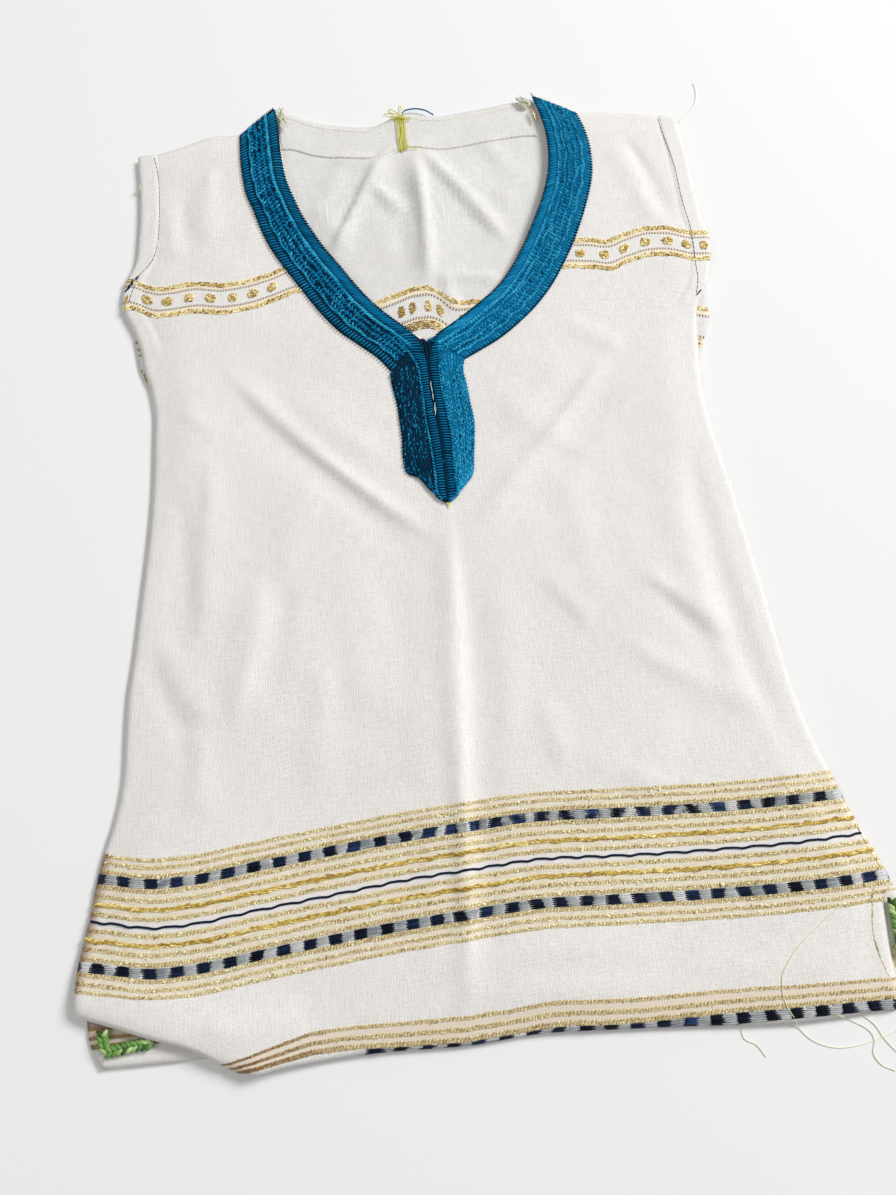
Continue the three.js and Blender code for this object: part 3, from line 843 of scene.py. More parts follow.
    # navy dashes with hazy thread between them
    fuzz = n.mul(n.sub(n.streaks(uv, 60, 1500), 0.5), c["fuzz"] * mm)
    haze = n.blend(n.soft(streak, 0.35, 0.65), ink["haze"], ink["white"])
    deep = n.blend(n.soft(patch, 0.35, 0.7), ink["navyDark"], ink["navy"])
    dashes = 0.0
    half = b["dashHalfLength"]
    for level, r in dashLevels():
        row = n.line(v, level, b["dashHalfHeight"] + 0.1, 0.3)
        if "from" in r:
            row = n.mul(row, n.ramp(u, r["from"] - r["ease"], r["from"] + r["ease"], 0.0, 0.0 if backInside else 1.0))
        along = n.sub(n.add(u, fuzz), (r["centre"] - r["pitch"] / 2) * mm)
        reach = n.mul(n.offMiddle(along, r["pitch"] * mm), r["pitch"] * mm)
        base = n.blend(row, base, n.blend(n.ramp(reach, half - 1.0, half + 0.8, 1.0, 0.0), haze, deep))
        dashes = n.most(dashes, row)

    height = n.mulAdd(gold, n.mulAdd(ticks, 0.3, 0.5), weave)
    height = n.add(height, n.mul(dashes, n.mulAdd(streak, 0.6, 0.2)))
    n.bump(height, own["bump"], c["bumpReach"] * mm)
    return n.paint(base, n.mulAdd(gold, -0.4, 0.86), n.mul(gold, 0.15))


def threadMaterial(name, dark, mid, light, rough, metal, specular):
    n = Nodes(name, Specular_IOR_Level=specular)
    where = n.place()
    tone = n.add(n.tone(), n.mul(n.sub(n.noise(where, 1500), 0.5), 0.45))
    base = n.blend(n.soft(tone, 0.1, 0.5), colour(*dark), colour(*mid))
    base = n.blend(n.soft(tone, 0.55, 0.95), base, colour(*light))
    n.bump(n.noise(where, 1980, 2, 0.6), 0.5, 0.0002)
    return n.paint(base, rough, metal)


frontWeave = clothMaterial("crepe_front", False)
backWeave = clothMaterial("crepe_back", True)
teal = threadMaterial("teal_silk", (0, 38, 60), (2, 120, 168), (56, 176, 214), 0.68, 0.0, 0.07)
goldYarn = threadMaterial("gold_yarn", (138, 104, 54), (214, 192, 132), (255, 249, 204), 0.42, 0.2, 0.4)
yellowYarn = threadMaterial("yellow_yarn", (164, 134, 56), (216, 186, 90), (255, 244, 178), 0.42, 0.15, 0.4)
navyYarn = threadMaterial("navy_yarn", (5, 9, 18), (17, 30, 52), (38, 62, 104), 0.7, 0.0, 0.12)
hazeYarn = threadMaterial("haze_yarn", (128, 134, 138), (168, 172, 172), (208, 208, 206), 0.8, 0.0, 0.1)
greenSilk = threadMaterial("green_silk", (46, 76, 28), (108, 152, 76), (192, 214, 148), 0.55, 0.0, 0.2)
paleThread = threadMaterial("pale_thread", (218, 216, 172), (238, 236, 202), (250, 250, 228), 0.6, 0.0, 0.2)
tuftThread = threadMaterial("tuft_thread", (150, 156, 118), (222, 226, 200), (250, 250, 242), 0.7, 0.0, 0.1)
blueThread = threadMaterial("blue_thread", (40, 62, 104), (80, 108, 152), (128, 154, 192), 0.6, 0.0, 0.2)
yellowThread = threadMaterial("yellow_thread", (168, 164, 20), (212, 208, 52), (240, 238, 130), 0.5, 0.0, 0.3)
yellowGold = threadMaterial("yellow_gold", (148, 112, 50), (222, 192, 114), (255, 247, 204), 0.42, 0.18, 0.4)
print("materials made")


# cloth panels
panelSizes = {"bodyColumns": 64, "bandColumns": 14, "rowsBelow": 112, "rowsAbove": 88, "wall": 0.8,
              "backColumns": 120, "backRows": 170, "backWall": 1.0, "weld": 0.02}


def frontPlace(side):
    def place(s, t):
        p, lv = panelSizes, levelSizes
        split = p["rowsBelow"] / (p["rowsBelow"] + p["rowsAbove"])
        upper = mix(lv["tip"], lv["top"], (t - split) / (1 - split))
        level = np.where(t < split, mix(lv["hem"], lv["tip"], t / split), upper)
        rows, index = np.unique(np.round(level, 6), return_inverse=True)

        def at(edge):
            return meet(frontRowY, rows, edge)[index]

        start = at(frontLeft if side == "left" else frontRight)
        outer, inner = at(outerEdge[side]), at(innerEdge[side])
        centre = (at(innerEdge["left"]) + at(innerEdge["right"])) / 2
        inner = np.where(level <= lv["tip"] + 1e-6, centre, inner)  # below the slit the halves meet
        share = p["bodyColumns"] / (p["bodyColumns"] + p["bandColumns"])
        s = s if side == "left" else 1 - s
        x = np.where(s < share, mix(start, outer, s / share), mix(outer, inner, (s - share) / (1 - share)))
        y = frontRowY(x, level)
        return np.stack([x, y, frontTop(x, y)], 1)
    return place


def makeFront():
    p = panelSizes
    bm = bmesh.new()
    for side in ("left", "right"):
        gridOf(bm, p["bodyColumns"] + p["bandColumns"], p["rowsBelow"] + p["rowsAbove"], frontPlace(side))
    bmesh.ops.remove_doubles(bm, verts=bm.verts, dist=p["weld"] * mm)
    obj = finishMesh("front_cloth", bm, frontWeave, p["wall"])
    mapCloth(obj, frontBend)
    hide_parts("front")
    return obj


def backPlace(s, t):
    lv = levelSizes
    level = mix(lv["backHem"], lv["top"], t)
    rows, index = np.unique(np.round(level, 6), return_inverse=True)
    start = meet(backRowY, rows, backLeft)[index]
    end = meet(backRowY, rows, backRight)[index]
    x = mix(start, end, s)
    y = backRowY(x, level)
    return np.stack([x, y, backTop(x, y)], 1)


def makeBack():
    p = panelSizes
    bm = bmesh.new()
    gridOf(bm, p["backColumns"], p["backRows"], backPlace)
    obj = finishMesh("back_cloth", bm, backWeave, p["backWall"])
    mapCloth(obj, backBend)
    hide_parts("back")
    return obj


frontCloth = makeFront()
backCloth = makeBack()
print("panels made", len(frontCloth.data.polygons), len(backCloth.data.polygons))

# neck facing, a strip turned in along the back neck
facingSizes = {"left": -65, "right": 63.5, "width": 20, "columns": 90, "rows": 14, "rise": 0.13, "wall": 0.22,
               "under": 0.3, "lowRoll": 1.2, "highRoll": 2.0, "highShare": 0.6, "ripple": 0.14, "wave": 0.2,
               "stitchLow": 0.9, "stitchHigh": 2.5, "stitch": {"pitch": 2.7, "long": 2.5, "wide": 0.3, "tall": 0.3}}


def facingPoint(s, t):
    f = facingSizes
    x = mix(f["left"], f["right"], s)
    y = mix(backRowY(x, levelSizes["top"] - f["width"]), backTopY(x) - f["under"], t)
    roll = rollUp(t * f["width"], f["lowRoll"]) * rollUp((1 - t) * f["width"] + f["highShare"], f["highRoll"])
    ripple = (f["ripple"] * np.sin(x / 6) + f["wave"] * np.sin(x / 11 + 1)) * smooth(0, 0.4, t)
    return np.stack([x, y, backTop(x, y) + f["rise"] * roll + ripple], 1)


def makeFacing():
    f = facingSizes
    bm = bmesh.new()
    gridOf(bm, f["columns"], f["rows"], facingPoint)
    obj = finishMesh("neck_facing", bm, backWeave, f["wall"])
    mapCloth(obj, lambda x, y: np.zeros_like(x))
    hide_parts("back_neck_facing")
    return obj


neckFacing = makeFacing()

# stitches and yarn
bead = sceneMesh("bead", "uvsphere", u_segments=6, v_segments=4, radius=1)
grain = sceneMesh("grain", "icosphere", subdivisions=1, radius=1)


def beadSizes(long, size):
    return np.stack([long, np.full(len(long), size["wide"]), np.full(len(long), size["tall"])], 1)


def laid(x, y, surface, lift):
    return np.stack([x, y, surface(x, y) + lift], 1)


def only(part, keep):
    return tuple(k[keep] for k in part)


def rowOfStitches(points, size, lift, surface, slant=0.0, tone=0.5, toneSpread=0.2, jitter=0.1):
    q, d = evenly(points, size["pitch"])
    n = len(q)
    x, y = q[:, 0] + chance.normal(0, jitter * 0.3, n), q[:, 1] + chance.normal(0, jitter * 0.3, n)
    turns = axesAlong(d[:, 0], d[:, 1], slant + chance.normal(0, jitter, n))
    sizes = beadSizes(size["long"] * (1 + chance.normal(0, 0.08, n)), size)
    return laid(x, y, surface, lift), turns, sizes, tone + chance.normal(0, toneSpread, n)


neckBand = {
    "left": table("ox oy ix iy", """
        -84.0 204.7 -66.2 219.6
        -84.1 193.8 -64.8 205.0
        -83.7 182.3 -64.2 190.0
        -82.1 169.6 -62.2 175.0
        -78.8 159.4 -58.4 162.6
        -76.4 150.7 -55.0 153.4
        -72.2 139.3 -50.0 143.0
        -66.7 128.7 -45.2 134.0
        -59.1 115.8 -38.5 123.4
        -50.5 101.8 -31.0 111.0
        -42.0 90.5  -24.2 102.0
        -33.3 82.5  -17.0 94.4
        -25.4 75.2  -10.4 88.4
        -20.0 68.0  -4.2 82.6"""),
    "right": table("ox oy ix iy", """
        83.6 202.2 62.8 214.6
        86.1 191.5 65.4 203.0
        87.3 181.1 66.9 190.0
        86.8 169.0 66.4 177.0
        84.5 158.2 64.2 165.0
        79.1 143.0 59.6 151.6
        72.5 128.2 53.0 137.6
        66.6 117.4 47.2 126.4
        59.3 105.9 40.6 115.6
        50.7 95.6  33.4 106.8
        41.7 87.4  24.4 99.4
        32.0 80.2  14.0 91.8
        22.8 75.2  5.0 86.0
        14.4 71.0  -1.8 82.6"""),
}
tealSizes = {
    "rise": 0.9, "edge": 0.1, "columns": 14, "rows": 110, "wall": 0.9, "lift": 0.15,
    "turn": 76, "cordTop": 84,  # where the band turns into the braid, and where the cord beside the braid starts
    "tick": {"pitch": 1.6, "wide": 0.84, "tall": 0.8},
    "tip": {"pitch": 1.6, "wide": 0.9, "tall": 0.6},
    "rib": {"pitch": 1.3, "wide": 0.72, "tall": 0.8},
    "cord": {"pitch": 1.5, "long": 2.1, "wide": 0.85, "tall": 0.72, "slant": 0.6},
    "leaf": {"pitch": 2.1, "long": 2.7, "wide": 0.95, "tall": 0.72, "slant": 0.8, "apart": 0.042},
    "fill": {"pitch": 1.5, "long": 1.9, "wide": 0.8, "tall": 0.5, "slant": 0.5},
}
# where rows run across the band, 0 at its outer edge and 1 at the neck; cords are (share, width, tone, wave)
bandStyle = {
    "left": {"outer": 0.24, "lip": 0.72, "base": 0.02, "tickTone": 0.5, "lipTone": 0.5, "leafTone": 0.5, "fillTone": 0.16,
             "leaves": (0.355, 0.49, 0.625), "fills": (0.3, 0.42, 0.56, 0.68),
             "cords": ((0.255, 0.85, 0.66, 0.3), (0.425, 0.6, 0.52, 0.34), (0.56, 0.6, 0.5, 0.3),
                       (0.715, 1.2, 0.76, 0.12))},
    "right": {"outer": 0.18, "lip": 0.76, "base": 0.34, "tickTone": 0.66, "lipTone": 0.6, "leafTone": 0.56,
              "fillTone": 0.4, "leaves": (0.3, 0.45, 0.68), "fills": (0.24, 0.37, 0.52, 0.66),
              "cords": ((0.215, 0.95, 0.72, 0.36), (0.375, 0.9, 0.68, 0.4), (0.53, 0.8, 0.62, 0.3),
                        (0.61, 0.95, 0.7, 0.42), (0.755, 1.1, 0.74, 0.16))},
}


def rowRead(rows, names):
    return readers([[r[k] for r in rows] for k in names.split()])


bandReads = {side: rowRead(rows, "ox oy ix iy") for side, rows in neckBand.items()}


def bandPoint(side, share, along):
    a = np.asarray(along, float) * (len(neckBand[side]) - 1)
    ox, oy, ix, iy = (read(a) for read in bandReads[side])
    return mix(ox, ix, share), mix(oy, iy, share)


def tealRise(share, edge):
    return rollUp(np.minimum(share, 1 - share), edge)


def tealTop(x, y):
    return frontTop(x, y) + tealSizes["lift"] + tealSizes["rise"]


def fan(fromLine, toLine, size, lift, tone, toneSpread=0.2, over=1.04, jitter=0.05):
    # stitches that reach from one line to another, turning with them around a corner
    length = lengthAlong((fromLine + toLine) / 2)
    stops = np.arange(size["pitch"] / 2, length[-1], size["pitch"])
    p, q = (np.stack([np.interp(stops, length, line[:, k]) for k in (0, 1)], 1) for line in (fromLine, toLine))
    d = q - p
    n = len(stops)
    x, y = ((p + q) / 2).T
    sizes = beadSizes(np.linalg.norm(d, axis=1) * over * (1 + chance.normal(0, 0.04, n)), size)
    turns = axesAlong(d[:, 0], d[:, 1], chance.normal(0, jitter, n))
    return laid(x, y, tealTop, lift), turns, sizes, tone + chance.normal(0, toneSpread, n)


def evenOut(points, reach):
    # eases the corners of a closely spaced line
    p = np.asarray(points, float)
    padded = np.concatenate([np.repeat(p[:1], reach, 0), p, np.repeat(p[-1:], reach, 0)])
    window = np.ones(2 * reach + 1) / (2 * reach + 1)
    return np.stack([np.convolve(padded[:, k], window, "valid") for k in (0, 1)], 1)


def mottle(row, amount, pitchX=1.0, pitchY=1.0):  # the silk is worked unevenly, lighter and darker in patches
    x, y = row[0][:, 0] * pitchX, row[0][:, 1] * pitchY
    patch = np.sin(x / 2.9 + 1.7 * np.sin(y / 4.7)) * np.sin(y / 3.3 + 1.4 * np.sin(x / 5.3))
    row[3][:] += amount * (patch + 0.4 * np.sin(x / 9 - y / 12))
    return row


def alongRow(side, share, wave=0.0, waveLength=9.0, start=0.0, end=1.0):
    t = np.linspace(start, end, 150)
    wobble = wave * np.sin(t * 190 / waveLength * 2 * math.pi + share * 9) / 20
    return np.stack(bandPoint(side, share + wobble, t), 1)


plackets = {
    "left": {
        "edge": table("x y", "-20.2 67\n-20.0 61\n-18.4 51\n-18.0 43.8\n-17.6 34\n-17.9 25\n"
                             "-16.8 17.6\n-11.6 14.4\n-7.7 9\n-3.2 4.2\n-0.5 2.4"),
        "slit": table("x y", "-3.5 81.4\n-2.9 72\n-2.6 62\n-2.1 52\n-1.5 44\n-0.6 34\n-0.2 24\n-0.1 12\n-0.1 6\n"
                             "-0.1 3.4\n-0.1 2.2"),
        "side": -1, "base": 0.02, "tone": 0.12, "mottle": 0.08, "ribTone": 0.5, "cordTone": 0.68,
        "chains": (0.3, 0.62), "chainTone": 0.24, "chainKept": 0.5, "speckTone": 0.56, "speckKept": 0.5},
    "right": {
        "edge": table("x y", "14.2 71\n13.1 65\n14.0 58\n14.6 49.4\n15.5 40.6\n14.9 32.1\n13.6 22.6\n12.3 14.3\n"
                             "7.9 8.9\n3.4 4.4\n0.6 2.4"),
        "slit": table("x y", "-2.6 81.4\n-2.3 72\n-2.0 62\n-1.5 52\n-0.9 44\n-0.1 34\n0.15 24\n0.2 12\n0.15 6\n"
                             "0.1 3.4\n0.1 2.2"),
        "side": 1, "base": 0.34, "tone": 0.58, "mottle": 0.2, "ribTone": 0.44, "cordTone": 0.68,
        "chains": (0.22, 0.5, 0.78), "chainTone": 0.2, "chainKept": 0.85, "speckTone": 0.74, "speckKept": 0.4},
}
placketSizes = {
    "rise": 0.9, "lift": 0.15, "edge": 0.14, "rows": 60, "columns": 14, "wall": 0.8, "fillRows": 8,
    "braid": 4.3, "braidTone": 0.04, "braidColumns": 6, "braidShare": 0.9,
    # dark: a row of dark stitches along the slit, painted shade in the crevice where the two lips meet
    "dark": {"pitch": 1.2, "long": 2.8, "wide": 1.5, "tall": 1.0, "from": (-4.3, 82.6), "lift": 0.75, "tone": -0.05},
    "chain": {"pitch": 2.4, "long": 2.9, "wide": 0.6, "tall": 0.5, "slant": 0.36, "apart": 0.05},
    "speck": {"gap": 2.3, "long": 1.9, "wide": 0.46, "tall": 0.45, "low": 8, "high": 70, "lean": 68, "lift": 0.2},
    "ring": {"beads": 10, "long": 1.5, "wide": 0.6, "tall": 0.6, "squeeze": 0.8, "stretch": 1.25, "tone": 0.74,
             "places": ((8.2, 60, 1.5), (10.6, 53.5, 1.2), (8.6, 46, 1.7), (10.4, 39.5, 1.1),
                        (8.4, 32.5, 1.8), (10.2, 26, 1.2), (8.6, 19.5, 1.9), (6.6, 13, 1.2))},
    "fleck": {"x": (-2.3, -2.1, -1.9, -1.6, -1.4), "y": (59, 56.5, 52.8, 47.6, 45.4),
              "long": 4.4, "wide": 0.32, "tall": 0.34, "lift": 1.95},
    "tack": {"x": (-0.3, 0.2, 0.6), "y": (1.2, 0.4, 1.4), "long": 2.6, "wide": 0.42, "tall": 0.4, "lift": 0.75}}
placketReads = {side: {k: rowRead(half[k], "x y") for k in ("edge", "slit")} for side, half in plackets.items()}


def placketLine(side, which, a):
    a = np.asarray(a, float) * (len(plackets[side]["edge"]) - 1)
    if which == "edge":
        return tuple(read(a) for read in placketReads[side]["edge"])
    x, y = (read(a) for read in placketReads[side]["slit"])
    if which == "braid":  # the braid keeps its width until the point, then narrows with it
        room = np.abs(placketReads[side]["edge"][0](a) - x)
        x = x + plackets[side]["side"] * np.minimum(placketSizes["braid"], room * 0.6)
    return x, y


def makeBand(side):
    b, style, half = tealSizes, bandStyle[side], plackets[side]

    def place(s, t):
        share = s if side == "left" else 1 - s
        x, y = bandPoint(side, share, 1 - t)
        return np.stack([x, y, frontTop(x, y) + b["lift"] + b["rise"] * tealRise(share, b["edge"])], 1)

    bm = bmesh.new()
    gridOf(bm, b["columns"], b["rows"], place)
    base = finishMesh("neck_band_" + side, bm, teal, b["wall"])
    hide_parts("neck_embroidery_" + side)
    setTone(base.data, style["base"])

    tip, cord, leaf, fill = b["tip"], b["cord"], b["leaf"], b["fill"]
    # overcasting on both edges, close stitches over short dark tips
    outer = alongRow(side, style["outer"] - 0.03)
    parts = [fan(alongRow(side, 0.0), outer, b["tick"], -0.08, style["tickTone"], 0.1, 1.0),
             fan(alongRow(side, -0.02), alongRow(side, 0.06), tip, -0.12, 0.1, 0.1, 1.05)]
    t = np.linspace(0.06, 0.985, 90)
    slit = np.stack(placketLine(side, "slit", t), 1)
    braid = np.stack(placketLine(side, "braid", np.clip(t + 0.004, 0, 0.99)), 1)
    lip = evenOut(np.concatenate([alongRow(side, 1.015, end=0.97), slit]), 4)
    inner = evenOut(np.concatenate([alongRow(side, style["lip"] + 0.02, end=0.9), braid]), 7)
    for size, low in ((b["tick"], False), (b["rib"], True)):
        ribs = fan(lip, inner, size, -0.05, style["lipTone"], 0.09, 1.0, 0.02)
        if low:
            ribs[3][:] += half["ribTone"] - style["lipTone"]
            ribs[0][:, 2] += 0.25
        parts.append(only(ribs, (ribs[0][:, 1] < b["turn"]) == low))
    across = inner - lip
    short = fan(lip - across * 0.03, lip + across * 0.24, tip, 0.06, 0.08, 0.1, 1.05, 0.02)
    parts.append(only(short, short[0][:, 1] > b["turn"]))
    # raised light cords, each a twist of short slanted stitches
    drift = np.linspace(0, 1, len(lip))[:, None] * 34
    lane = inner + across / np.maximum(0.1, np.linalg.norm(across, axis=1))[:, None] * (0.3 + 0.3 * np.sin(drift))
    low = lane[lane[:, 1] < b["cordTop"]]
    parts.append(rowOfStitches(low[::3], cord, 0.25, tealTop, cord["slant"], half["cordTone"], 0.1))
    for share, wide, tone, wave in style["cords"]:
        size = {**cord, "wide": cord["wide"] * wide}
        for strand in (-1, 1):
            line = alongRow(side, share + 0.012 * strand * wide, wave, 9 + 20 * share)[::2]
            row = rowOfStitches(line, size, 0.1 + 0.12 * wide, tealTop, cord["slant"] * 0.8, tone + 0.06 * strand, 0.1)
            parts.append(mottle(row, 0.1))
    for k, share in enumerate(style["fills"]):
        line, lean = alongRow(side, share, 0.2)[::3], fill["slant"] * (-1) ** k
        parts.append(rowOfStitches(line, fill, -0.08, tealTop, lean, style["fillTone"], 0.14, 0.25))
    for share in style["leaves"]:  # chain stitch: pairs of stitches that lean together
        for turn in (-1, 1):
            line = alongRow(side, share + turn * leaf["apart"], 0.16, 15)[::3]
            row = rowOfStitches(line, leaf, 0.06, tealTop, leaf["slant"] * turn, style["leafTone"], 0.14, 0.22)
            parts.append(only(mottle(row, 0.22, 1.3, 1.3), chance.random(len(row[3])) < 0.9))
    top = np.stack(bandPoint(side, np.linspace(0, 1, 30), np.zeros(30)), 1)
    below = np.stack(bandPoint(side, np.linspace(0.03, 0.97, 30), np.full(30, 0.016)), 1)
    parts.append(fan(top + (top - below) * 0.25, below, {**tip, "pitch": b["rib"]["pitch"]}, -0.2, 0.12, 0.15, 1.15))
    strew("neck_stitches_" + side, bead, parts, teal, base)


for side in ("left", "right"):
    makeBand(side)
print("neck bands made")


def makePlacket(side):
    s, half = placketSizes, plackets[side]
    fill, chain, speck, ring = tealSizes["fill"], s["chain"], s["speck"], s["ring"]

    def place(outer, inner, rise):
        def onto(u, t):
            u = u if side == "left" else 1 - u
            (ax, ay), (bx, by) = placketLine(side, outer, 1 - t), placketLine(side, inner, 1 - t)
            x, y = mix(ax, bx, u), mix(ay, by, u)
            return np.stack([x, y, frontTop(x, y) + s["lift"] + rise * tealRise(u, s["edge"])], 1)
        return onto

    bm = bmesh.new()
    gridOf(bm, s["columns"], s["rows"], place("edge", "braid", s["rise"]))
    base = finishMesh("placket_" + side, bm, teal, s["wall"])
    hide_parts("placket_embroidery_" + side)
    setTone(base.data, half["base"])
    bm = bmesh.new()
    gridOf(bm, s["braidColumns"], s["rows"], place("braid", "slit", s["rise"] * s["braidShare"]))
    braid = finishMesh("braid_" + side, bm, teal, s["wall"])
    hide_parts("slit_braid_" + side)
    setTone(braid.data, s["braidTone"])

    line = np.linspace(0, 1, 80)
    edge, inner, slit = (np.stack(placketLine(side, which, line), 1) for which in ("edge", "braid", "slit"))
    across = inner - edge
    parts = []
    for k, share in enumerate(np.linspace(0.1, 0.9, s["fillRows"])):
        points, lean = (edge + across * share)[2:74:4], 0.4 * (-1) ** k
        row = rowOfStitches(points, fill, -0.05, tealTop, lean, half["tone"], 0.1, 0.3)
        parts.append(mottle(row, half["mottle"], 1.2))
    out = edge - across / np.maximum(0.5, np.linalg.norm(across, axis=1))[:, None] * 0.35
    parts.append(fan(out, edge + across * 0.16, tealSizes["tip"], -0.3, half["tone"] + 0.03, 0.12, 1.15))
    if side == "left":  # the two lips meet over a dark row of stitches, painted shade in the crevice between them
        dark = s["dark"]
        middle = np.concatenate([[dark["from"]], slit[::4]]) + [0.3, 0]
        parts.append(rowOfStitches(middle, dark, dark["lift"], frontTop, 0.0, dark["tone"], 0.08))
    # chain stitch in long narrow loops
    tone = half["tone"] + half["chainTone"]
    for share in half["chains"]:
        for turn in (-1, 1):
            points = (edge + across * (share + chain["apart"] * turn))[6:72:4]
            row = rowOfStitches(points, chain, 0.08, tealTop, chain["slant"] * turn, tone, 0.12, 0.12)
            parts.append(only(row, chance.random(len(row[3])) < half["chainKept"]))
    # light flecks that lean with the needle, scattered evenly
    places = []
    for y in np.arange(speck["low"], speck["high"], speck["gap"]):
        a = np.interp(-y, -edge[:, 1], line)
        low, high = sorted(float(placketLine(side, which, a)[0]) for which in ("edge", "braid"))
        for x in np.arange(low + 1.2, high - 0.6, speck["gap"]):
            places.append((x + chance.normal(0, 0.45), y + chance.normal(0, 0.5)))
    places = np.array(places)
    x, y = places[chance.random(len(places)) < half["speckKept"]].T
    n = len(x)
    lean = math.radians(speck["lean"]) + chance.normal(0, 0.18, n)
    sizes = beadSizes(speck["long"] * chance.uniform(0.6, 1.3, n), speck)
    tones = half["speckTone"] + chance.normal(0, 0.16, n)
    parts.append((laid(x, y, tealTop, speck["lift"]), axesAlong(np.cos(lean), np.sin(lean)), sizes, tones))
    if side == "right":  # small uneven eyelets of chain stitch around a dark middle
        m = ring["beads"]
        for cx, cy, radius in ring["places"]:
            turn = np.linspace(0, 2 * math.pi, m, endpoint=False) + chance.uniform(0, 1)
            reach = radius * (1 + chance.normal(0, 0.14, m))
            x, y = cx + reach * np.cos(turn) * ring["squeeze"], cy + reach * np.sin(turn) * ring["stretch"]
            axes = axesAlong(-np.sin(turn) * ring["squeeze"], np.cos(turn) * ring["stretch"])
            sizes = beadSizes(np.full(m, ring["long"] * radius / 1.5), ring)
            parts.append((laid(x, y, tealTop, 0.12), axes, sizes, ring["tone"] + chance.normal(0, 0.12, m)))
            middle = laid(np.array([cx]), np.array([cy]), tealTop, 0.05)
            parts.append((middle, axesAlong(np.zeros(1), np.ones(1)), [[radius * 1.4, radius * 0.8, 0.5]], [-0.1]))
    strew("placket_stitches_" + side, bead, parts, teal, base)


for side in ("left", "right"):
    makePlacket(side)


def makeFlecks():  # white thread ends caught in the slit, and the yellow tack under its point
    for name, material in (("fleck", tuftThread), ("tack", yellowThread)):
        f = placketSizes[name]
        x, y = np.array(f["x"]), np.array(f["y"], float)
        n = len(x)
        sizes = beadSizes(f["long"] * chance.uniform(0.7, 1.2, n), f)
        axes = axesAlong(np.zeros(n), np.ones(n), chance.normal(0, 0.12, n))
        part = (laid(x, y, frontTop, f["lift"]), axes, sizes, np.full(n, 0.8))
        strew({"fleck": "slit_flecks", "tack": "slit_tack"}[name], bead, [part], material, frontCloth)


makeFlecks()
print("placket made")

# gold and navy yarn laid over the woven lines
yarnSizes = {
    "gold": {"long": 1.05, "wide": 0.42, "tall": 0.3, "slant": 0.85, "lift": 0.05, "kept": 0.66, "halfLine": 0.75},
    "flash": {"count": 520, "reach": 158, "wide": 0.62, "tall": 0.6, "lift": 0.12, "tone": 1.4,
              "levels": (-25, -22.5, -19.2, -13.5, -10, 10, 13.5, 19.2, 22.5, 25, -3.1, 3.1)},
    "bright": {"pitch": 1.25, "long": 2.3, "wide": 0.62, "tall": 0.62, "slant": 0.4, "lift": 0.12, "apart": 0.45,
               "wave": 0.26, "waveLength": 12},
    "navy": {"radius": 0.46, "wave": 0.27, "waveLength": 10.4},
    "float": {"threads": 5, "gap": 0.74, "wide": 0.86, "tall": 0.46, "skew": 0.35},
    "rope": {"pitch": 0.85, "long": 1.5, "wide": 0.66, "tall": 0.6, "slant": 0.6, "lift": 0.06, "apart": 0.74,
             "wave": 0.18, "waveLength": 13},
    "dot": {"threads": 7, "gap": 0.6, "reach": 2.3, "halfHeight": 2.4, "picks": 4, "long": 2.2, "wide": 0.72,
            "tall": 0.62, "lift": 0.15, "folded": 14, "foldedShare": 0.72}}
dashCentres = {  # where each navy dash sits along its row; the pitch closes up over the centre crease
    "upper": [-152.6, -142.5, -131.3, -121.3, -111.4, -101.3, -91, -81, -70.7, -60.8, -51.3, -40.4, -30, -20.8, -12.5,
              -3.3, 5.7, 14.6, 24.4, 34.2, 44.6, 54.6, 65, 75.4, 84.8, 95.4, 106, 115.6, 125.4, 136.7, 145.8],
    "lower": [-152.4, -142.5, -132.3, -122.1, -111.7, -101.7, -91.4, -80.8, -70.4, -60.4, -50.8, -40, -30, -20.8, -12.1,
              -1.7, 8.8, 18.3, 27.5, 37.9, 48.3, 58.8, 69.6, 79.8, 89.6, 100.2, 110.2, 120.2, 130.2, 140.2, 149.8],
    "border": [-47.5, -38, -28.3, -18.4, -8.3, 2, 12.2, 22.1, 31.7, 41.3, 51.3, 61.3, 71.7, 82.1, 92.1, 103, 112.5,
               122.4, 132.6, 142.6, 152.4],
}


def wovenLine(level, wave=0.0, length=10.2, phase=0.0, step=1.0, bend=None, off=0.0):
    x = np.arange(-161, 163, step) + off
    swing = 2 * math.pi * x / length + phase + 1.6 * np.sin(x / 29 + phase)
    drift = wave * (np.sin(swing) + 0.3 * np.sin(2 * swing + 1) + 0.6 * np.sin(x / 13 + phase) * np.sin(x / 37))
    return x, settle(x, level + drift, bend or frontBend)


def onFront(x, y, inset=0.8):
    keep = (x > frontLeft(y) + inset) & (x < frontRight(y) - inset) & (y > hemY(x) + 0.5) & (y < shoulderY(x) - 0.5)
    inNeck = (y > 82) & (x > outerEdge["left"](y) - 0.2) & (x < outerEdge["right"](y) + 0.2)
    return keep & ~inNeck


def onBackShown(x, y, inset=0.6):
    inside = (x > backLeft(y) + inset) & (x < backRight(y) - inset)
    neck = (x > innerEdge["left"](y) - 3) & (x < innerEdge["right"](y) + 3)
    return inside & (neck | (x > frontRight(y) - 3) | (x < frontLeft(y) + 3))


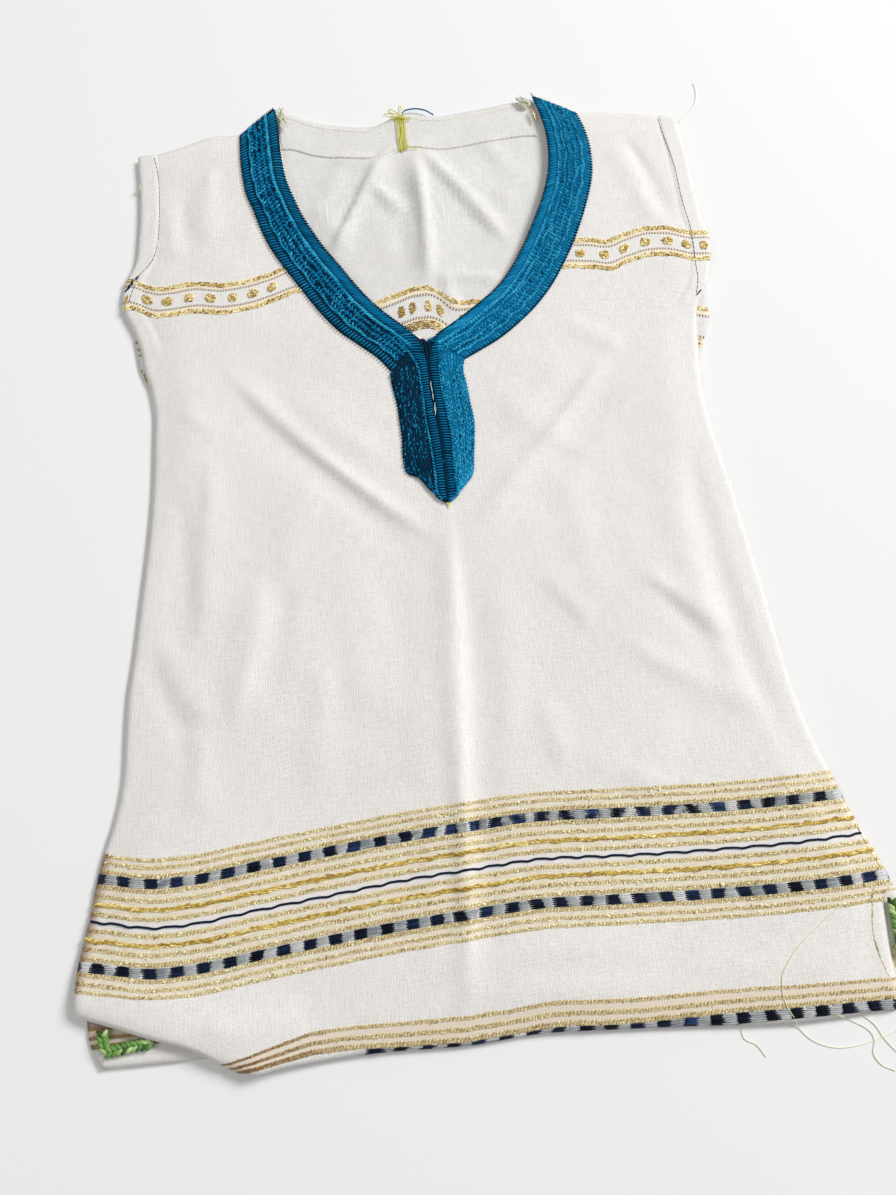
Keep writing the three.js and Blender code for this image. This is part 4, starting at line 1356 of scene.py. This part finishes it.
def goldStitches():
    s, f, b = yarnSizes["gold"], yarnSizes["flash"], bandSizes
    parts = []
    lines = [(bandLevels["hem"] + sign * off, half) for off, half, _ in b["goldLines"] for sign in (1, -1)]
    lines += [(bandLevels["border"] + off, half) for off, half, _ in b["borderLines"]]
    for level, half in lines:
        for lane in (-0.5, 0.5):
            x, y = wovenLine(level + lane * half, 0.1, 14, level, b["twill"] * 0.8, off=lane)
            keep = onFront(x, y) & (chance.random(len(x)) < s["kept"])
            x, y = x[keep] + chance.normal(0, 0.15, keep.sum()), y[keep] + chance.normal(0, 0.14, keep.sum())
            n = len(x)
            turns = axesAlong(np.ones(n), np.gradient(y, x), s["slant"] + chance.normal(0, 0.25, n))
            sizes = beadSizes(s["long"] * half / s["halfLine"] * chance.uniform(0.6, 1.15, n), s)
            # toned darker at the rolled edge, partly pulled threads and partly painted shade where it turns under, and
            # darker towards the turned corner
            darkening = 0.6 * (1 - smooth(0.5, 5, x - frontLeft(y)))
            if level < bandLevels["border"]:
                darkening = darkening + 0.7 * (1 - smooth(-96, -50, x))
            tones = np.clip(0.6 + 0.1 * np.sin(x / 7 + level) + chance.normal(0, 0.25, n) - darkening, -0.3, 1.3)
            parts.append((laid(x, y, frontTop, s["lift"]), turns, sizes, tones))
    # bright flecks where a float catches the light
    x = chance.uniform(-f["reach"], f["reach"], f["count"])
    level = bandLevels["hem"] + chance.choice(f["levels"], f["count"]) + chance.normal(0, 0.4, f["count"])
    y = settle(x, level, frontBend)
    x, y = only((x, y), onFront(x, y))
    n = len(x)
    sizes = beadSizes(chance.uniform(0.7, 1.5, n), f)
    turns = axesAlong(np.ones(n), np.zeros(n), chance.normal(0.5, 0.4, n))
    parts.append((laid(x, y, frontTop, f["lift"]), turns, sizes, np.full(n, f["tone"])))
    strew("gold_twill", grainLow, parts, goldYarn, frontCloth)


def brightLines():  # the loosest yarn, three yellow strands that wander about each other
    s = yarnSizes["bright"]
    parts = []
    for sign in (1, -1):
        for strand in (-1, 0, 1):
            level = bandLevels["hem"] + sign * bandSizes["brightLine"][0] + s["apart"] * strand
            x, y = wovenLine(level, s["wave"], s["waveLength"], sign * 2.0, s["pitch"], off=0.4 * strand)
            y = y + chance.normal(0, 0.14, len(x))
            x, y = only((x, y), onFront(x, y))
            n = len(x)
            slant = s["slant"] * np.where(np.sin(x / 6 + strand) > 0, 1, -0.6) + chance.normal(0, 0.15, n)
            turns = axesAlong(np.ones(n), np.gradient(y, x) * 0.6, slant)
            sizes = beadSizes(s["long"] * chance.uniform(0.7, 1.2, n), s)
            tones = 0.46 + 0.2 * np.sin(x / 8 + strand) + chance.normal(0, 0.24, n)
            parts.append((laid(x, y, frontTop, s["lift"]), turns, sizes, tones))
    strew("bright_yarn", bead, parts, yellowYarn, frontCloth)


def dashFloats():  # navy floats and the hazy thread between them, five picks to a row
    s, half = yarnSizes["float"], bandSizes["dashHalfLength"]
    rows = [(level, np.array(centres)) for (level, _), centres in zip(dashLevels(), dashCentres.values())]
    for name, material, tone, lift in (("navy", navyYarn, 0.4, 0.1), ("haze", hazeYarn, 0.5, 0.0)):
        parts = []
        for level, dashes in rows:
            if name == "navy":
                middle, long = dashes, np.full(len(dashes), 2 * half + 0.7)
            else:
                middle, long = (dashes[1:] + dashes[:-1]) / 2, np.diff(dashes) - 2 * half + 1.6
            long = long * (1 + chance.normal(0, 0.05, len(long)))
            skew = chance.normal(0, s["skew"], len(middle))
            cellTone = chance.normal(0, 0.16, len(middle))
            for k in range(s["threads"]):
                off = (k - (s["threads"] - 1) / 2) * s["gap"]
                x = middle + skew * off + chance.normal(0, 0.2, len(middle))
                y = settle(x, level + off, frontBend)
                keep = onFront(x, y, 1.6) & onFront(x - 0.42 * long, y, 0.2) & onFront(x + 0.42 * long, y, 0.2)
                x, y = x[keep], y[keep]
                n = len(x)
                sizes = beadSizes(long[keep] + chance.normal(0, 0.3, n), s)
                tones = tone + cellTone[keep] + chance.normal(0, 0.12, n)
                slope = frontBend(x + 0.5, y) - frontBend(x - 0.5, y)
                climb = (frontTop(x + 2, y) - frontTop(x - 2, y)) / 4
                parts.append((laid(x, y, frontTop, lift), axesAlong(np.ones(n), slope, 0.0, climb), sizes, tones))
        strew(name + "_floats", bead, parts, material, frontCloth)


dotPlaces = {
    "front": [-130.8, -121.2, -110.8, -100.9, -90.5, -81.1, -71.9, 74.6, 85.9, 95.9, 106.3, 117.2, 125.9, 134.2],
    "back": [-134, -124, -114, -104, -12.5, -7.2, 0.4, 5.7, 16],
}


def ropeAndDots():  # the shoulder band's gold ropes and its row of gold dots
    rope, dot = yarnSizes["rope"], yarnSizes["dot"]
    for name, bend, surface, shown, owner in (("front", frontBend, frontTop, onFront, frontCloth),
                                              ("back", backBend, backTop, onBackShown, backCloth)):
        parts = []
        for sign in (1, -1):
            gathered = name == "back" and sign == -1  # the back's lower rope is bunched and dark at the foot of the neck
            for strand in (-2, -1, 0, 1, 2) if gathered else (-1, 0, 1):
                level = bandLevels["chest"] + sign * bandSizes["chestEdge"] + rope["apart"] * strand
                x, y = wovenLine(level, rope["wave"], rope["waveLength"], sign * 2, rope["pitch"], bend, 0.35 * strand)
                keep = shown(x, y, 0.3)
                x, y = x[keep], y[keep] + chance.normal(0, 0.15, keep.sum())
                n = len(x)
                if n < 3:
                    continue
                slope = np.clip(np.gradient(y, x), -2, 2)
                turns = axesAlong(np.ones(n), slope, rope["slant"] + chance.normal(0, 0.25, n))
                sizes = beadSizes(rope["long"] * chance.uniform(0.7, 1.2, n), rope)
                tones = 0.64 + 0.16 * np.sin(x / 5) + chance.normal(0, 0.3, n)
                if gathered:
                    tones = tones - 0.5 * (1 - smooth(-6, 8, x))
                parts.append((laid(x, y, surface, rope["lift"]), turns, sizes, tones))
        picks = dot["picks"]
        for centre in dotPlaces[name]:
            folded = name == "back" and abs(centre) < dot["folded"]  # less of a dot shows in the fold
            tone = 0.14 if name == "back" and centre < -3 else 0.54
            wide = dot["reach"] * chance.uniform(0.88, 1.1) * (dot["foldedShare"] if folded else 1.0)
            for k in range(dot["threads"]):
                off = (k - (dot["threads"] - 1) / 2) * dot["gap"]
                spread = wide * math.sqrt(max(0.1, 1 - (off / dot["halfHeight"]) ** 2)) - dot["long"] * 0.3
                x = centre + np.linspace(-spread, spread, picks) + chance.normal(0, 0.16, picks)
                y = settle(x, bandLevels["chest"] + off + chance.normal(0, 0.1, picks), bend)
                if not np.all(shown(x, y, 1.0)):
                    continue
                sizes = beadSizes(dot["long"] * chance.uniform(0.7, 1.1, picks), dot)
                slope = (bend(x + 1, y) - bend(x - 1, y)) / 2
                turns = axesAlong(np.ones(picks), slope, chance.normal(0.15, 0.25, picks))
                parts.append((laid(x, y, surface, dot["lift"]), turns, sizes, tone + chance.normal(0, 0.28, picks)))
        strew(name + "_ropes", bead, parts, yellowGold, owner)


# a cone with its axis laid along x, so its length is the stitch's length
grainLow = sceneMesh("grainLow", "cone", cap_ends=True, cap_tris=True, segments=5, radius1=1, radius2=0.7, depth=2)
grainLow.transform(Matrix.Rotation(math.pi / 2, 4, "Y"))
goldStitches()
brightLines()
dashFloats()
ropeAndDots()


def tubeAlong(name, lines, radius, material, parent=None, tone=0.5, sides=6):
    curve = bpy.data.curves.new(name, "CURVE")
    curve.dimensions = "3D"
    curve.bevel_depth = radius * mm
    curve.bevel_resolution = sides // 2 - 2
    curve.use_fill_caps = True
    for line in lines:
        spline = curve.splines.new("POLY")
        spline.points.add(len(line) - 1)
        for p, q in zip(spline.points, line):
            p.co = (q[0] * mm, q[1] * mm, q[2] * mm, 1)
    holder = addObject(name, curve)
    mesh = bpy.data.meshes.new_from_object(holder.evaluated_get(bpy.context.evaluated_depsgraph_get()))
    bpy.data.objects.remove(holder)
    mesh.name = name
    mesh.polygons.foreach_set("use_smooth", np.ones(len(mesh.polygons), bool))
    mesh.materials.clear()
    mesh.materials.append(material)
    setTone(mesh, tone)
    obj = addObject(name, mesh)
    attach(obj, "root")
    obj.parent = parent
    return obj


def navyThread():
    s = yarnSizes["navy"]
    x, y = wovenLine(bandLevels["hem"], s["wave"], s["waveLength"], 0.0, 0.8)
    x, y = only((x, y), onFront(x, y, 0.5))
    line = laid(x, y, frontTop, s["radius"] * 0.5 * (1 + 0.12 * np.sin(x * 4.1)))
    tubeAlong("navy_wave", [line], s["radius"], navyYarn, frontCloth, 0.4)


navyThread()
print("yarn laid")

# sewing threads
seamSizes = {"pitch": 2.4, "long": 2.7, "wide": 0.44, "tall": 0.26, "lift": 0.02}
seams = {
    "armhole_left": (blueThread, [(-126.5, 196.2), (-125.2, 188), (-124.4, 180), (-124.4, 165), (-125.0, 151),
                                  (-127.2, 139.6), (-131.1, 133.4), (-134.9, 129.2), (-138.4, 119.5), (-139.2, 115)]),
    "armhole_right": (blueThread, [(124.0, 195.6), (124.9, 186), (126.5, 175), (127.6, 163), (127.8, 150), (128.5, 141),
                                   (129.4, 131.6), (129.2, 121.6), (128.6, 112.2), (128.4, 103.5), (126.6, 96)]),
    "slit_right": (goldYarn, [(153.2, -172.6), (150.5, -176), (149.2, -182), (147.6, -189.5), (147.8, -196),
                              (148.8, -202), (150.3, -207)]),
    "side_right": (yellowYarn, [(150.2, -151), (151.6, -156), (153.4, -161.5), (156.0, -167)]),
}


def sewSeams():
    for name, (material, points) in seams.items():
        part = rowOfStitches(points, seamSizes, seamSizes["lift"], frontTop, 0.03, 0.5, 0.15, 0.04)
        strew("seam_" + name, bead, [part], material, frontCloth)
    f = facingSizes
    parts = []
    xs = np.linspace(f["left"] + 1, f["right"] - 1, 40)
    for t in (f["stitchLow"] / f["width"], 1 - f["stitchHigh"] / f["width"]):
        p = facingPoint((xs - f["left"]) / (f["right"] - f["left"]), np.full_like(xs, t))
        q, d = evenly(p, f["stitch"]["pitch"])
        n = len(q)
        turns = axesAlong(d[:, 0], d[:, 1], chance.normal(0, 0.06, n))
        sizes = beadSizes(np.full(n, f["stitch"]["long"]), f["stitch"])
        parts.append((q + [0, 0, 0.05], turns, sizes, chance.normal(0.42, 0.15, n)))
    strew("seam_facing", bead, parts, paleThread, neckFacing)


sewSeams()

# green twisted cords inside the slits
cordSizes = {"radius": 1.4, "coreShare": 0.8, "pitch": 1.9, "long": 4.4, "wide": 2.0, "tall": 2.3, "slant": 0.62,
             "spread": 0.95, "lift": 0.5}
cordPaths = {
    "left": [(-150.6, -197.4), (-150.2, -201.5), (-148.6, -204.8), (-144.5, -204.4), (-139, -203.8), (-132, -203.4)],
    "right": [(157.6, -179.4), (157.6, -186), (157.4, -193), (156.8, -200)],
}


def makeCords():
    s = cordSizes
    for side, path in cordPaths.items():
        line = np.array([(x, y, backLie["top"] + s["radius"]) for x, y in path])
        core, _ = evenly(line, 1.0)
        base = tubeAlong("cord_" + side, [core], s["radius"] * s["coreShare"], greenSilk, None, 0.2, 8)
        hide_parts("slit_cord_" + side)
        parts = []
        for turn in (-1, 1):  # two plies that cross like a plait
            q, d = evenly(line, s["pitch"])
            n = len(q)
            across = np.stack([-d[:, 1], d[:, 0], np.zeros(n)], 1) / np.linalg.norm(d[:, :2], axis=1)[:, None]
            turns = axesAlong(d[:, 0], d[:, 1], -turn * s["slant"] + chance.normal(0, 0.1, n))
            places = q + across * turn * s["spread"] + [0, 0, s["lift"]]
            parts.append((places, turns, beadSizes(np.full(n, s["long"]), s), chance.normal(0.55, 0.25, n)))
        strew("cord_twist_" + side, grain, parts, greenSilk, base)


makeCords()

# tacks, tufts and loose ends
looseEnds = {
    "front_loop": (0.16, [(150, -176.5), (138, -179.1), (126.5, -186.3), (117.3, -192.8), (110, -200.6), (108, -207),
                          (108.6, -213), (111, -218)]),
    "hem_tail_a": (0.15, [(111, -218.6), (114.8, -224.6), (119.8, -228.4), (127.1, -230.5), (136.8, -230.0),
                          (150, -226.6), (160, -221)]),
    "hem_tail_b": (0.15, [(127.2, -218.2), (133, -221.3), (139.1, -225.2), (140.8, -229), (139.4, -233.4),
                          (141.5, -237.6), (146.5, -240.4)]),
    "hem_tail_c": (0.15, [(90.9, -219.6), (91.7, -224), (95.9, -226.6), (99.1, -231.6)]),
    "hem_tail_d": (0.15, [(137.2, -219.4), (142, -223.7), (144.8, -229.2), (150, -236)]),
    "arm_tail": (0.13, [(132.6, 193), (136.8, 196.8), (141, 200.4), (144.8, 205.6), (146.4, 212), (146, 218)]),
}


def fallTo(x, y):  # what lies under a loose thread
    covered = (y > hemY(x)) & (y < shoulderY(x)) & (x > frontLeft(y)) & (x < frontRight(y))
    return np.where(covered, frontTop(x, y), 0.0)


def makeThreads():
    for name, (radius, points) in looseEnds.items():
        q, _ = evenly(points, 0.8)
        x, y = q.T
        z = fallTo(x, y)
        for _ in range(6):  # eased, but never into the cloth
            z[1:-1] = np.maximum((z[:-2] + z[1:-1] + z[2:]) / 3, fallTo(x, y)[1:-1])
        tubeAlong("loose_" + name, [np.stack([x, y, z + radius + 0.02], 1)], radius, paleThread, frontCloth)


makeThreads()

tackSizes = {
    "radius": 0.19, "lift": 0.4,
    "strands": [(-6.6, 209.8, -5.6, 189.0), (-5.6, 211.0, -4.8, 188.4), (-4.4, 212.0, -4.0, 188.0),
                (-3.6, 211.0, -3.0, 189.0), (-2.6, 211.6, -1.6, 190.4), (-5.0, 210.2, -2.2, 189.6),
                (-2.8, 210.4, -5.4, 190.0)],
    "cross": [(-10.5, 208.2, 1.2, 209.4), (-9.4, 210.0, 0.4, 207.6), (-7.2, 188.6, 3.6, 190.2)],
    "tails": [[(-4.4, 211.6), (-6.6, 214.0), (-9.4, 217.0)], [(-4.0, 211.6), (-3.0, 214.6), (-3.6, 218.4)],
              [(-5, 211), (-8, 213), (-12, 213.6)]],
    "loop": {"radius": 0.34, "height": 1.7,
             "path": [(-3, 211.6), (-1.3, 213.6), (3.7, 214.2), (8.6, 212.8), (12.6, 209.6)]}}


def makeTack():
    t, loop = tackSizes, tackSizes["loop"]
    lift = facingSizes["rise"] + t["lift"]
    lines = []
    for x0, y0, x1, y1 in t["strands"]:
        k = np.linspace(0, 1, 14)
        x, y = mix(x0, x1, k) + 0.3 * np.sin(6 * k), mix(y0, y1, k)
        lines.append(np.stack([x, y, backTop(x, y) + lift + 0.35 * np.sin(math.pi * k)], 1))
    for x0, y0, x1, y1 in t["cross"]:
        k = np.linspace(0, 1, 10)
        x, y = mix(x0, x1, k), mix(y0, y1, k) + 0.5 * np.sin(5 * k)
        lines.append(np.stack([x, y, backTop(x, y) + lift + 0.3 + 0.3 * np.sin(math.pi * k)], 1))
    for tail in t["tails"]:
        x, y = evenly(tail, 0.8)[0].T
        lines.append(np.stack([x, y, (lift + backLie["top"]) * (1 - 0.7 * np.linspace(0, 1, len(x)))], 1))
    tubeAlong("centre_tack", lines, t["radius"], yellowThread, neckFacing, 0.5, 8)
    x, y = evenly(loop["path"], 0.8)[0].T
    line = np.stack([x, y, np.full(len(x), loop["height"])], 1)
    tubeAlong("blue_loop", [line], loop["radius"], teal, neckFacing, 0.35)


makeTack()

tuftRadius = 0.2
tufts = {  # root, tip, spread, thread, count
    "left": ((-63.4, 211.0), (-62.4, 219.0), 1.7, tuftThread, 16),
    "left_low": ((-62.8, 213.0), (-60.2, 207.6), 1.0, tuftThread, 8),
    "right": ((61.4, 209.4), (56.0, 214.2), 1.6, tuftThread, 16),
    "right_spots": ((60.4, 210.4), (57.2, 212.6), 1.0, yellowGold, 4),
    "right_low": ((62.0, 207.4), (63.0, 200.2), 0.5, yellowGold, 4),
    "arm_left": ((-134.6, 129.4), (-140.6, 122.4), 0.9, navyYarn, 5),
    "arm_white": ((-136.2, 128.2), (-139.6, 124.6), 1.4, tuftThread, 6),
    "arm_gold": ((-139.6, 119.6), (-141.4, 114.2), 0.7, yellowGold, 4),
    "arm_right": ((126.6, 94.6), (129.6, 98.0), 0.5, navyYarn, 3),
    "fray": ((-133.4, 181.0), (-135.2, 176.6), 1.0, tuftThread, 4)}


def makeTufts():
    k = np.linspace(0, 1, 9)
    for name, ((x0, y0), (x1, y1), spread, material, count) in tufts.items():
        lines = []
        for _ in range(count):
            sx, sy = chance.normal(0, spread * 0.4, 2)
            bx, by = chance.normal(0, spread * 0.6, 2)
            reach = chance.uniform(0.5, 1.1)
            x = x0 + sx * 0.4 + (x1 - x0) * k * reach + sx * k + bx * np.sin(math.pi * k)
            y = y0 + sy * 0.4 + (y1 - y0) * k * reach + sy * k + by * np.sin(math.pi * k)
            onBack = (y < backTopY(x)) & (np.abs(x) < 134)
            ground = np.maximum(fallTo(x, y), np.where(onBack, backTop(x, y), 0)) + tuftRadius
            arch = chance.uniform(0.1, 0.9) * np.sin(math.pi * np.minimum(1, k * 1.2 + 0.1))
            lines.append(np.stack([x, y, ground + arch], 1))
        obj = tubeAlong("tuft_" + name, lines, tuftRadius, material, frontCloth)
        tones = obj.data.attributes["tone"].data  # each thread has its own shade
        shades = chance.uniform(0.0, 1.0, count).astype(np.float32)
        tones.foreach_set("value", np.repeat(shades, len(tones) // count)[:len(tones)])


makeTufts()
print("threads made")


floorSizes = {"half": 3, "drop": 0.05}


def makeFloor():
    bm = bmesh.new()
    bmesh.ops.create_grid(bm, x_segments=1, y_segments=1, size=floorSizes["half"])
    bmesh.ops.translate(bm, verts=bm.verts, vec=(0, 0, -floorSizes["drop"] * mm))
    mesh = bpy.data.meshes.new("floor")
    bm.to_mesh(mesh)
    bm.free()
    mesh.materials.append(Nodes("floor_paint", Specular_IOR_Level=0.2).paint(colour(240, 240, 240), 0.9))
    addObject("floor", mesh)


lightSizes = {"sky": 0.315, "skyInk": (1.0, 0.998, 0.992, 1),
              "key": {"power": 95.0, "size": 1.0, "place": (2.2, 1.2, 1.75)},
              "fill": {"power": 4.5, "size": 0.9, "place": (-1.0, -0.3, 1.2)}}


def makeLight():
    s = lightSizes
    world = bpy.data.worlds.new("sky")
    world.use_nodes = True
    for socket, value in zip(world.node_tree.nodes["Background"].inputs, (s["skyInk"], s["sky"])):
        socket.default_value = value
    bpy.context.scene.world = world
    for name in ("key", "fill"):
        data = bpy.data.lights.new(name, "AREA")
        data.energy, data.size = s[name]["power"], s[name]["size"]
        place = Vector(s[name]["place"])
        aim = (-place).to_track_quat("-Z", "Y").to_matrix().to_4x4()
        addObject(name, data).matrix_world = Matrix.Translation(place) @ aim


makeFloor()
makeLight()
bpy.context.scene.view_settings.view_transform = "Standard"
print("stage set")
